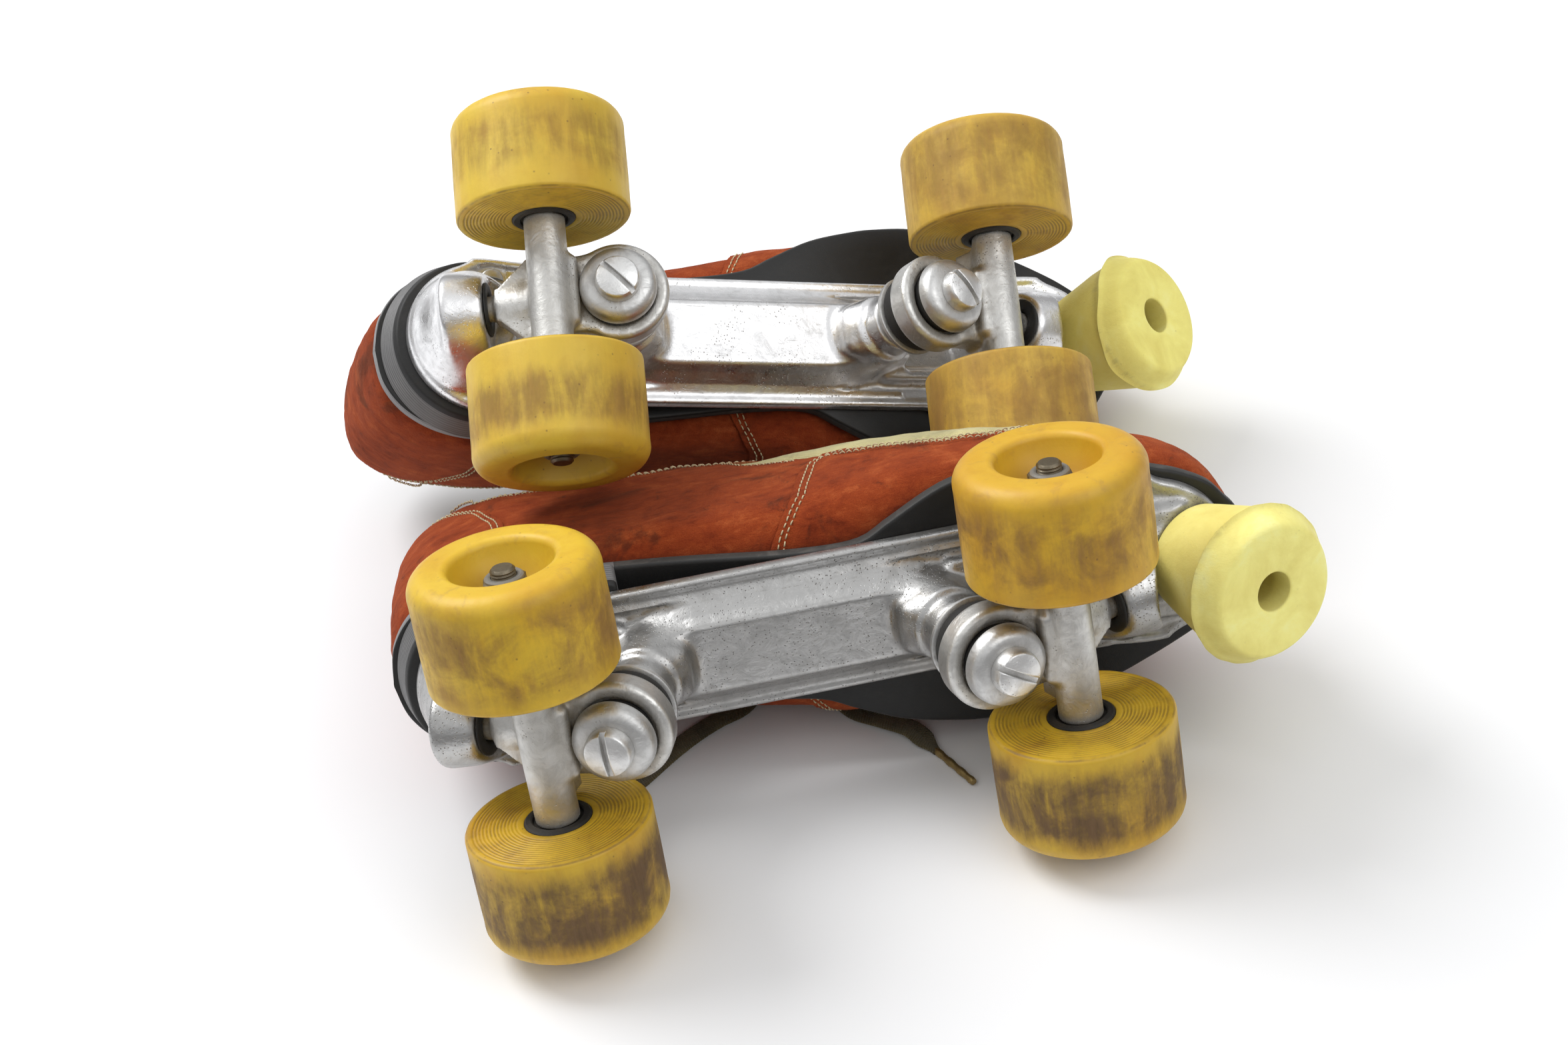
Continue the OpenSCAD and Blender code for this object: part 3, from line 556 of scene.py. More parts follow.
def slotted_head(r, t0, dome, edge, slot_w, slot_d, seg=96, rim=0.8):
    """A round head that rises along -t from t0, its slot cut by moving grid points down. Returns a closed mesh about z."""
    n = 34
    V, F, idx = [], [], {}
    # disc grid in polar rows for a clean rim, the slot made by a square-cornered trough
    xs = np.unique(np.concatenate([np.linspace(-r, r, 41), [-slot_w / 2 - 0.02, -slot_w / 2 + 0.02, slot_w / 2 - 0.02, slot_w / 2 + 0.02, -slot_w / 2 - 0.35, slot_w / 2 + 0.35]]))
    ys = np.linspace(-r, r, 41)

    def height(x, y):
        q = min(1.0, math.hypot(x, y) / r)
        h = edge + dome * (1 - q ** 2)
        if q > 1 - rim / r:
            k = (q - (1 - rim / r)) / (rim / r)
            h -= (edge * 0.55) * (1 - math.sqrt(max(0.0, 1 - k * k)))
        ax = abs(x)
        if ax < slot_w / 2 - 0.01:
            h = edge + dome - slot_d
        elif ax < slot_w / 2 + 0.3:
            h -= 0.12 * (1 - (ax - slot_w / 2) / 0.3)
        return h

    def pt(x, y):
        q = math.hypot(x, y)
        # the square grid's corners are squeezed on to the circle in the loop below, not here; this returns the point as
        # it is
        m = max(abs(x), abs(y))
        return x, y

    for i, x in enumerate(xs):
        L = math.sqrt(max(0.0, r * r - x * x))
        for j, y0 in enumerate(ys):
            y = y0 / r * L
            idx[i, j] = len(V)
            V.append((x, y, t0 - height(x, y)))
    nx, ny = len(xs), len(ys)
    for i in range(nx - 1):
        for j in range(ny - 1):
            F.append((idx[i, j], idx[i, j + 1], idx[i + 1, j + 1], idx[i + 1, j]))
    # side wall and back
    loop = [idx[i, 0] for i in range(nx)] + [idx[nx - 1, j] for j in range(1, ny)] + [idx[i, ny - 1] for i in range(nx - 2, -1, -1)] + [idx[0, j] for j in range(ny - 2, 0, -1)]
    back = []
    for v in loop:
        back.append(len(V))
        V.append((V[v][0], V[v][1], t0))
    m = len(loop)
    for k in range(m):
        F.append((loop[k], loop[(k + 1) % m], back[(k + 1) % m], back[k]))
    F.append(tuple(reversed(back)))
    return np.array(V), F


def merge_close(name_obj, dist=1e-7):
    import bmesh
    bm = bmesh.new()
    bm.from_mesh(name_obj.data)
    bmesh.ops.remove_doubles(bm, verts=bm.verts, dist=dist)
    bmesh.ops.dissolve_degenerate(bm, edges=bm.edges, dist=dist)
    bmesh.ops.recalc_face_normals(bm, faces=bm.faces)
    bm.to_mesh(name_obj.data)
    bm.free()


# ------------------------------------------------------------------ the boot's form
STATIONS = np.array([
    [-132, 17, 92, 100, 3, 3], [-129, 4, 90, 134, 14, 14], [-122, 1, 88, 158, 22, 22], [-108, 0, 86, 170, 29, 29],
    [-85, 0, 84, 175, 33, 33], [-55, 0, 84, 172, 33, 36], [-25, 0, 84, 160, 34, 38], [5, 0, 82, 147, 35, 43],
    [35, 0, 78, 136.5, 39, 48.2], [65, 0, 76, 119.5, 41, 51.2], [90, 0, 75, 103, 40.5, 49.6], [115, 0, 73, 94, 36, 43],
    [135, 1, 71, 86, 28.5, 32], [147, 3, 69, 79, 18, 19], [153, 7, 67, 72, 5, 6]], float)
FLOOR_UP, FLOOR_H = np.array([-0.3256, 0.6187, -0.7150]), 110.6


def zbot(x):
    x = np.asarray(x, float)
    return np.where(x > 40, 55.0, np.where(x < -60, 67.0, 61 - 6 * np.cos(np.radians(180 * (40 - x) / 100))))


def spline(P, m):
    """Catmull-Rom through the rows of P, m steps a span, as the CAD draws it."""
    P = np.asarray(P, float)
    n = len(P)
    out = []
    for k in range((n - 1) * m + 1):
        i = min(k // m, n - 2)
        t = k / m - i
        a, b, c, d = P[max(0, i - 1)], P[i], P[i + 1], P[min(n - 1, i + 2)]
        out.append(0.5 * (2 * b + t * (c - a) + t * t * (2 * a - 5 * b + 4 * c - d) + t ** 3 * (3 * b - a - 3 * c + d)))
    return np.array(out)


RINGS = spline(STATIONS, 16)


def form_ring(s, d, ang):
    x = s[0] + d * ((-100 - s[0]) / 32 if s[0] < -100 else -(s[0] - 120) / 33 if s[0] > 120 else 0)
    c, n = np.cos(ang), np.sin(ang)
    zb = float(zbot(s[0])) + s[1] + np.broadcast_to(d, ang.shape)
    w = np.maximum(1, np.where(c > 0, s[5], s[4]) - d)
    up, dn = np.maximum(0.5, s[3] - d - s[2]), np.maximum(0.5, s[2] - zb)
    p = np.where(n < 0, 3.2, 2.4)
    y = w * np.sign(c) * np.abs(c) ** (2 / p)
    z = s[2] + np.where(n > 0, up, dn) * np.sign(n) * np.abs(n) ** (2 / p)
    return np.column_stack([np.broadcast_to(x, ang.shape), y, z])


def form_grid(nang=176):
    """The form at d = 0 with its outward normals, as grids of rings."""
    ang = np.linspace(0, 2 * math.pi, nang, endpoint=False) + 1e-4
    P = np.array([form_ring(s, 0.0, ang) for s in RINGS])
    dx = np.gradient(P, axis=0)
    da = np.roll(P, -1, axis=1) - np.roll(P, 1, axis=1)
    N = np.cross(da, dx)
    N /= np.maximum(np.linalg.norm(N, axis=2, keepdims=True), 1e-9)
    # outward is away from the ring's own middle
    mid = P.mean(axis=1, keepdims=True)
    if ((P - mid) * N).sum() < 0:
        N = -N
    # ends point along x
    N[0], N[-1] = (-1, 0, 0), (1, 0, 0)
    for k in range(1, 5):
        for e, sx in ((k, -1), (-1 - k, 1)):
            q = N[e] * (k / 5) + np.array([sx, 0, 0]) * (1 - k / 5)
            N[e] = q / np.linalg.norm(q, axis=1, keepdims=True)
    return P, N


GP, GN = form_grid()


def press(P, need):
    """The right boot rests on its lacing: points are kept at least `need` above the floor there."""
    h = FLOOR_H + P @ FLOOR_UP
    k = np.maximum(need - h, 0)
    soft = np.where(h < need + 4, np.maximum(k, 0), 0)
    return P + soft[:, None] * FLOOR_UP


def noise3(P, scale, seed=0, octaves=3):
    """Smooth repeatable noise from sums of sines, about -1 to 1."""
    g = np.random.default_rng(1000 + seed)
    out = np.zeros(len(P))
    amp, tot = 1.0, 0.0
    for o in range(octaves):
        acc = np.zeros(len(P))
        for _ in range(6):
            v = g.normal(size=3)
            v = v / np.linalg.norm(v) * (2 * math.pi / (scale / 2 ** o)) * g.uniform(0.6, 1.4)
            acc += np.sin(P @ v + g.uniform(0, 6.28))
        out += amp * acc / 6 * 1.6
        tot += amp
        amp *= 0.55
    return out / tot


def smooth01(t):
    t = np.clip(t, 0, 1)
    return t * t * (3 - 2 * t)


# Seams, in the skate's frame
def seam_x(z, y):
    """Where the front panel ends, at a height, inner side and outer side alike."""
    zz = np.array([55, 61, 63.5, 70, 80, 91.6, 99.3, 112, 200])
    xx = np.array([-8, -2.1, 2.2, 8.1, 11.4, 14.8, 22.5, 34, 60])
    return np.interp(z, zz, xx)


def front_top_z(x):
    """Top edge of the front panel."""
    return np.interp(x, [-50, 14.8, 22.5, 29, 44, 63, 80, 96, 105, 112, 200], [60, 96, 100.5, 98.0, 92.0, 84.0, 80.5, 82.5, 90.0, 130, 400])


def quarter_top_z(x):
    return np.interp(x, [-200, -30, -16, -5.6, 5, 15.5, 22.5, 32, 200], [400, 400, 150, 121.0, 114.0, 106.5, 103.0, 95, -50])


OPEN = [(-112, 0.01), (-110, 14), (-100, 24), (-85, 28), (-71, 29), (-50, 29), (-35, 27.5), (-15, 24.5), (-3, 21), (8, 16.5), (16, 13), (25, 11), (68, 9), (75, 5), (76, 0.01)]
OPEN_POLY = np.array(OPEN + [(x, -y) for x, y in reversed(OPEN)], float)
TONGUE = [(-24, 0.01), (-22, 12), (-14, 17), (-2, 18.5), (8, 15.7), (16, 13.5), (25, 12.2), (68, 10.2), (76, 6), (78, 0.01)]
TONGUE_POLY = np.array(TONGUE + [(x, -y) for x, y in reversed(TONGUE)], float)
FACING = [(-30, 26.5), (4, 26.5), (22, 20), (84, 18), (90, 14), (92, 6), (92, -6), (90, -14), (84, -18), (22, -20), (4, -26.5), (-30, -26.5)]


def poly_sd(x, y, poly):
    return s_poly(np.asarray(x, float), np.asarray(y, float), poly)


def opening_sd(P):
    """Over 0 outside the foot opening; the opening only cuts the top."""
    d = poly_sd(P[:, 0], P[:, 1], OPEN_POLY)
    return np.where(P[:, 2] > 92, d, 30.0)


class Skin:
    """A patch of the form: the grid's faces with some cut away along smooth lines, then given a thickness."""

    def __init__(self, keep, bottom_cut=True):
        P = GP
        m, n = P.shape[:2]
        self.V = P.reshape(-1, 3).copy()
        self.N = GN.reshape(-1, 3).copy()
        i, k = np.meshgrid(np.arange(m - 1), np.arange(n), indexing="ij")
        a, b = i * n + k, i * n + (k + 1) % n
        self.F = [tuple(f) for f in np.stack([a, a + n, b + n, b], axis=2).reshape(-1, 4)]
        # end caps
        for e, row in ((0, 0), (1, m - 1)):
            c = len(self.V)
            self.V = np.vstack([self.V, P[row].mean(axis=0)])
            self.N = np.vstack([self.N, [1 if e else -1, 0, 0]])
            for q in range(n):
                u, v = row * n + q, row * n + (q + 1) % n
                self.F.append((u, c, v) if e else (u, v, c))
        for f in keep:
            self.clip(f)
        used = np.unique(np.concatenate([np.array(f) for f in self.F]))
        remap = -np.ones(len(self.V), int)
        remap[used] = np.arange(len(used))
        self.V, self.N = self.V[used], self.N[used]
        self.F = [tuple(remap[list(f)]) for f in self.F]

    def clip(self, fn):
        val = fn(self.V)
        V, N = list(self.V), list(self.N)
        cache, out = {}, []
        for f in self.F:
            s = [val[i] for i in f]
            if min(s) >= 0:
                out.append(f)
                continue
            if max(s) < 0:
                continue
            g = []
            m = len(f)
            for j in range(m):
                a, b = f[j], f[(j + 1) % m]
                if val[a] >= 0:
                    g.append(a)
                if (val[a] >= 0) != (val[b] >= 0):
                    key = (min(a, b), max(a, b))
                    if key not in cache:
                        t = val[key[0]] / (val[key[0]] - val[key[1]])
                        # a steeper field than a distance is met part way, so the cut is kept a little off both ends of
                        # the edge
                        t = min(max(t, 0.02), 0.98)
                        cache[key] = len(V)
                        V.append(V[key[0]] * (1 - t) + V[key[1]] * t)
                        q = N[key[0]] * (1 - t) + N[key[1]] * t
                        N.append(q / max(np.linalg.norm(q), 1e-9))
                    g.append(cache[key])
            if len(g) > 2:
                out.append(tuple(g))
        self.V, self.N, self.F = np.array(V), np.array(N), out

    def border(self):
        """Loops of boundary edges, as (a, b) in face order."""
        seen = {}
        for f in self.F:
            m = len(f)
            for j in range(m):
                a, b = f[j], f[(j + 1) % m]
                seen[(a, b)] = seen.get((a, b), 0) + 1
        return [(a, b) for (a, b) in seen if (b, a) not in seen]

    def solid(self, out_off, in_off, rim_round=0.35, wrinkle=None, pressed=False, need=0.0):
        """Outer and inner skins at these offsets inward from the form (arrays or numbers), joined round the rim. Returns V, F, index (0 face, 1 rim, 2 lining)."""
        V, N = self.V, self.N
        n = len(V)
        o = np.broadcast_to(np.asarray(out_off, float), (n,)).copy()
        q = np.broadcast_to(np.asarray(in_off, float), (n,)).copy()
        if wrinkle is not None:
            w = wrinkle(V)
            o, q = o - w, q - w
        border = self.border()
        rim = np.zeros(n, bool)
        for a, b in border:
            rim[a] = rim[b] = True
        A = V - N * o[:, None]
        B = V - N * q[:, None]
        A[rim] -= N[rim] * rim_round * 0.5
        if pressed:
            A, B = press(A, need), press(B, need + np.abs(q - o).mean())
        F = list(self.F) + [tuple(reversed([i + n for i in f])) for f in self.F]
        I = [0] * len(self.F) + [2] * len(self.F)
        for a, b in border:
            F.append((b, a, a + n, b + n))
            I.append(1)
        return np.vstack([A, B]), F, I


def on_form(x, y, side_y, up=True, d=0.0):
    """The station row of the ring nearest to x; y (a height or a y) is not used. up is not used."""
    i = int(np.argmin(np.abs(RINGS[:, 0] - x)))
    s = RINGS[i]
    return s


def form_at_z(x, z, sy, d=0.0):
    """Point and outward normal on the form's side (sy 1 outer, -1 inner) at x and z."""
    i = np.interp(x, RINGS[:, 0], np.arange(len(RINGS)))
    a, b = int(math.floor(i)), min(int(math.floor(i)) + 1, len(RINGS) - 1)
    s = RINGS[a] * (1 - (i - a)) + RINGS[b] * (i - a)
    zb = float(zbot(x)) + s[1]
    w = s[5] if sy > 0 else s[4]
    if z >= s[2]:
        h, p = s[3] - s[2], 2.4
        v = min(abs(z - s[2]) / h, 0.9999)
    else:
        h, p = s[2] - zb, 3.2
        v = min(abs(z - s[2]) / h, 0.9999)
    y = w * (1 - v ** p) ** (1 / p)
    ny = (y / w) ** (p - 1) / w
    nz = v ** (p - 1) / h * (1 if z >= s[2] else -1)
    N = np.array([0, sy * ny, nz])
    N = N / np.linalg.norm(N)
    P = np.array([x, sy * y, z])
    return P - N * d, N


def form_at_y(x, y, d=0.0):
    """Point and normal on the form's upper half at x and y."""
    i = np.interp(x, RINGS[:, 0], np.arange(len(RINGS)))
    a, b = int(math.floor(i)), min(int(math.floor(i)) + 1, len(RINGS) - 1)
    s = RINGS[a] * (1 - (i - a)) + RINGS[b] * (i - a)
    w = s[5] if y > 0 else s[4]
    h = s[3] - s[2]
    u = min(abs(y) / w, 0.9999)
    v = (1 - u ** 2.4) ** (1 / 2.4)
    N = np.array([0, math.copysign(u ** 1.4 / w, y), v ** 1.4 / h])
    # slope along x from the neighbouring ring
    s2 = RINGS[min(a + 6, len(RINGS) - 1)]
    w2, h2 = (s2[5] if y > 0 else s2[4]), s2[3] - s2[2]
    z1 = s[2] + h * v
    u2 = min(abs(y) / w2, 0.9999)
    z2 = s2[2] + h2 * (1 - u2 ** 2.4) ** (1 / 2.4)
    dx = s2[0] - s[0]
    if dx > 0.5:
        N = N / np.linalg.norm(N)
        N[0] = -(z2 - z1) / dx * N[2]
    N = N / np.linalg.norm(N)
    P = np.array([x, y, s[2] + h * v])
    return P - N * d, N


def stitch_row(points, normals, length=2.5, gap=0.9, r=0.3, lift=0.28, seed=0):
    """Dashes of thread along a line on a surface."""
    P, N = np.asarray(points, float), np.asarray(normals, float)
    seg = np.linalg.norm(np.diff(P, axis=0), axis=1)
    L = np.concatenate([[0], np.cumsum(seg)])
    g = np.random.default_rng(seed)
    parts, s = [], 0.4
    while s + length < L[-1]:
        a = s + g.uniform(-0.12, 0.12)
        b = s + length + g.uniform(-0.15, 0.15)
        ts = np.linspace(a, b, 6)
        pts = np.column_stack([np.interp(ts, L, P[:, i]) for i in range(3)])
        nn = np.column_stack([np.interp(ts, L, N[:, i]) for i in range(3)])
        nn /= np.linalg.norm(nn, axis=1, keepdims=True)
        hump = np.array([-0.35, 0.12, 0.3, 0.3, 0.12, -0.35])
        pts = pts + nn * (lift * 0.35 + hump[:, None] * 0.9)
        parts.append((*tube(pts, r, 6), 0))
        s += length + gap
    return parts


# ------------------------------------------------------------------ materials
class Mat:
    """A small helper for building node materials."""

    def __init__(self, name, **sockets):
        self.m = bpy.data.materials.new(name)
        self.m.use_nodes = True
        self.t = self.m.node_tree
        self.t.nodes.clear()
        self.out = self.t.nodes.new("ShaderNodeOutputMaterial")
        self.b = self.t.nodes.new("ShaderNodeBsdfPrincipled")
        self.t.links.new(self.b.outputs[0], self.out.inputs[0])
        for k, v in sockets.items():
            self.set(k.replace("_", " "), v)
        a = self.t.nodes.new("ShaderNodeAttribute")
        a.attribute_name = "loc"
        self.loc = a.outputs["Vector"]
        self.m.diffuse_color = (*[float(x) for x in (sockets.get("Base_Color") or (0.5, 0.5, 0.5))][:3], 1)

    def set(self, name, v):
        s = self.b.inputs[name]
        if hasattr(v, "is_output"):
            self.t.links.new(v, s)
        elif isinstance(v, (tuple, list)):
            s.default_value = (*v, 1.0) if len(v) == 3 and s.type == "RGBA" else v
        else:
            s.default_value = v

    def _in(self, n, i, v):
        if v is None:
            return
        if hasattr(v, "is_output"):
            self.t.links.new(v, n.inputs[i])
        else:
            s = n.inputs[i]
            if s.type == "RGBA" and isinstance(v, (tuple, list)) and len(v) == 3:
                v = (*v, 1.0)
            s.default_value = v

    def math(self, op, a, b=None, c=None, clamp=False):
        n = self.t.nodes.new("ShaderNodeMath")
        n.operation, n.use_clamp = op, clamp
        for i, v in enumerate((a, b, c)):
            self._in(n, i, v)
        return n.outputs[0]

    def sep(self, v):
        n = self.t.nodes.new("ShaderNodeSeparateXYZ")
        self._in(n, 0, v)
        return n.outputs

    def comb(self, x, y, z):
        n = self.t.nodes.new("ShaderNodeCombineXYZ")
        for i, v in enumerate((x, y, z)):
            self._in(n, i, v)
        return n.outputs[0]

    def map(self, v, scale=(1, 1, 1), loc=(0, 0, 0), rot=(0, 0, 0)):
        n = self.t.nodes.new("ShaderNodeMapping")
        self._in(n, "Vector", v)
        n.inputs["Scale"].default_value, n.inputs["Location"].default_value, n.inputs["Rotation"].default_value = scale, loc, rot
        return n.outputs[0]

    def noise(self, v=None, scale=1.0, detail=4, rough=0.55, dist=0.0, kind="FBM", w=None):
        n = self.t.nodes.new("ShaderNodeTexNoise")
        n.noise_dimensions = "3D"
        self._in(n, "Vector", v if v is not None else self.loc)
        n.inputs["Scale"].default_value = scale
        n.inputs["Detail"].default_value = detail
        n.inputs["Roughness"].default_value = rough
        n.inputs["Distortion"].default_value = dist
        return n.outputs["Fac"]

    def voronoi(self, v=None, scale=1.0, feature="F1", rand=1.0, out="Distance"):
        n = self.t.nodes.new("ShaderNodeTexVoronoi")
        n.feature = feature
        self._in(n, "Vector", v if v is not None else self.loc)
        n.inputs["Scale"].default_value = scale
        n.inputs["Randomness"].default_value = rand
        return n.outputs[out]

    def wave(self, v, scale, direction="X", dist=0.0, detail=0.0, profile="SIN", kind="BANDS"):
        n = self.t.nodes.new("ShaderNodeTexWave")
        n.wave_type, n.wave_profile = kind, profile
        if kind == "BANDS":
            n.bands_direction = direction
        self._in(n, "Vector", v)
        n.inputs["Scale"].default_value = scale
        n.inputs["Distortion"].default_value = dist
        n.inputs["Detail"].default_value = detail
        return n.outputs["Fac"]

    def ramp(self, f, stops, mode="LINEAR"):
        n = self.t.nodes.new("ShaderNodeValToRGB")
        n.color_ramp.interpolation = mode
        e = n.color_ramp.elements
        while len(e) < len(stops):
            e.new(0.5)
        for i, (p, c) in enumerate(stops):
            e[i].position = p
            e[i].color = (*c, 1.0) if isinstance(c, (tuple, list)) else (c, c, c, 1.0)
        self._in(n, 0, f)
        return n.outputs[0]

    def step(self, f, a, b):
        """0 below a, 1 above b, smooth between."""
        n = self.t.nodes.new("ShaderNodeMapRange")
        n.interpolation_type = "SMOOTHSTEP"
        self._in(n, "Value", f)
        n.inputs["From Min"].default_value, n.inputs["From Max"].default_value = a, b
        n.inputs["To Min"].default_value, n.inputs["To Max"].default_value = 0.0, 1.0
        return n.outputs[0]

    def mix(self, f, a, b, mode="MIX"):
        n = self.t.nodes.new("ShaderNodeMix")
        n.data_type, n.blend_type = "RGBA", mode
        n.clamp_factor = True
        self._in(n, 0, f)
        self._in(n, 6, a)
        self._in(n, 7, b)
        return n.outputs[2]

    def bump(self, h, strength=0.5, dist=0.001, prev=None):
        n = self.t.nodes.new("ShaderNodeBump")
        self._in(n, "Height", h)
        n.inputs["Strength"].default_value = strength
        n.inputs["Distance"].default_value = dist
        if prev is not None:
            self.t.links.new(prev, n.inputs["Normal"])
        return n.outputs[0]

    def ao(self, dist=0.004, samples=6):
        n = self.t.nodes.new("ShaderNodeAmbientOcclusion")
        n.samples = samples
        n.inputs["Distance"].default_value = dist
        return n.outputs["AO"]

    def edge(self):
        g = self.t.nodes.new("ShaderNodeNewGeometry")
        return g.outputs["Pointiness"]


def urethane(name, seed, yellow, dark, band=(-9.0, 9.0), amount=0.6, bandiness=0.5, streak=0.6, depth=0.6):
    """Honey yellow urethane in a wheel's own frame (mm, the axle along z): smudged brown on the tread."""
    M = Mat(name, Roughness=0.42, Specular_IOR_Level=0.45, Coat_Weight=0.08, Coat_Roughness=0.35)
    off = M.map(M.loc, loc=(seed * 13.7, seed * 7.3, seed * 3.1))
    x, y, z = M.sep(M.loc)
    r = M.math("SQRT", M.math("ADD", M.math("MULTIPLY", x, x), M.math("MULTIPLY", y, y)))
    tread = M.step(r, 27.6, 29.4)
    # the base wanders between lemon, honey and amber
    big = M.noise(off, 0.03, 3, 0.5)
    mid = M.noise(off, 0.10, 5, 0.6, 0.4)
    base = M.ramp(big, [(0.3, yellow), (0.5, tuple(c * k for c, k in zip(yellow, (0.98, 0.94, 0.8)))), (0.72, tuple(c * k for c, k in zip(yellow, (0.9, 0.78, 0.55))))])
    base = M.mix(M.math("MULTIPLY", M.step(mid, 0.45, 0.75), 0.4), base, tuple(c * k for c, k in zip(yellow, (0.78, 0.62, 0.42))))
    # smudges: broad soft blots, drawn out along the axle, inside a band with a wandering edge
    st = M.noise(M.map(off, scale=(0.16, 0.16, 0.035)), 1.0, 5, 0.6, 0.5)
    st2 = M.noise(M.map(off, scale=(0.6, 0.6, 0.07)), 1.0, 5, 0.65, 0.3)
    blot = M.noise(off, 0.06, 5, 0.62, 0.5)
    fine = M.noise(off, 0.7, 5, 0.7)
    zz = M.math("ADD", z, M.math("MULTIPLY", M.math("SUBTRACT", M.noise(M.map(off, scale=(0.09, 0.09, 0.03)), 1.0, 5, 0.7), 0.5), 14.0))
    inb = M.math("MULTIPLY", M.step(zz, band[0] - 4.5, band[0] + 4.5), M.math("SUBTRACT", 1.0, M.step(zz, band[1] - 4.5, band[1] + 4.5)))
    m1 = M.math("ADD", M.math("MULTIPLY", st, streak), M.math("MULTIPLY", blot, 1.0 - streak))
    m1 = M.math("ADD", M.math("MULTIPLY", m1, 0.78), M.math("MULTIPLY", st2, 0.14))
    m1 = M.math("ADD", m1, M.math("MULTIPLY", fine, 0.08))
    m1 = M.step(m1, 0.62 - 0.34 * amount, 0.84 - 0.26 * amount)
    scuff = M.math("MULTIPLY", M.math("MULTIPLY", m1, tread), M.math("ADD", M.math("MULTIPLY", inb, bandiness), 1.0 - bandiness))
    face = M.math("SUBTRACT", 1.0, M.step(z, -18.7, -18.2))
    groove = M.math("MULTIPLY", M.math("MULTIPLY", M.step(z, -18.93, -18.82), M.math("SUBTRACT", 1.0, M.step(z, -18.6, -18.4))), M.step(M.noise(off, 0.09, 4, 0.6), 0.36, 0.56))
    facedirt = M.math("MULTIPLY", face, M.step(M.noise(off, 0.12, 5, 0.65), 0.46, 0.74))
    # a grey-brown veil over the handled shoulder, and small specks
    lip = M.math("MULTIPLY", M.step(z, 12, 17), M.step(M.noise(off, 0.16, 5, 0.65, 0.5), 0.52, 0.72))
    speck = M.math("SUBTRACT", 1.0, M.step(M.voronoi(off, 0.25), 0.04, 0.13))
    speck = M.math("MULTIPLY", speck, M.step(M.noise(off, 0.08, 2), 0.46, 0.58))
    brown = M.ramp(st2, [(0.3, tuple(c * 0.8 for c in dark)), (0.7, tuple(c * 1.6 for c in dark))])
    col = M.mix(M.math("MULTIPLY", scuff, depth), base, brown)
    col = M.mix(M.math("MULTIPLY", groove, 0.5), col, (0.16, 0.09, 0.02))
    col = M.mix(M.math("MULTIPLY", facedirt, 0.32), col, tuple(c * 1.6 for c in dark))
    col = M.mix(M.math("MULTIPLY", lip, 0.3), col, tuple(c * 2.2 for c in dark))
    col = M.mix(M.math("MULTIPLY", speck, 0.6), col, dark)
    # painted shade: the recessed hub dish is painted a darker amber where shade falls in it
    dish_shade = M.math("MULTIPLY", M.math("SUBTRACT", 1.0, M.step(r, 12.5, 16.5)), M.step(z, 2, 6))
    col = M.mix(M.math("MULTIPLY", dish_shade, 0.35), col, tuple(c * k for c, k in zip(yellow, (0.75, 0.55, 0.3))))
    M.set("Base Color", col)
    M.set("Roughness", M.math("ADD", M.math("ADD", 0.38, M.math("MULTIPLY", scuff, 0.25)), M.math("MULTIPLY", M.noise(off, 0.4, 4), 0.18)))
    h = M.math("ADD", M.math("MULTIPLY", fine, 0.5), M.math("MULTIPLY", scuff, -0.3))
    h = M.math("ADD", h, M.math("MULTIPLY", st2, 0.35))
    M.set("Normal", M.bump(h, 0.25, 0.0006))
    M.set("Subsurface Weight", 0.12)
    M.set("Subsurface Radius", (1.0, 0.55, 0.15))
    M.set("Subsurface Scale", 0.003)
    return M.m


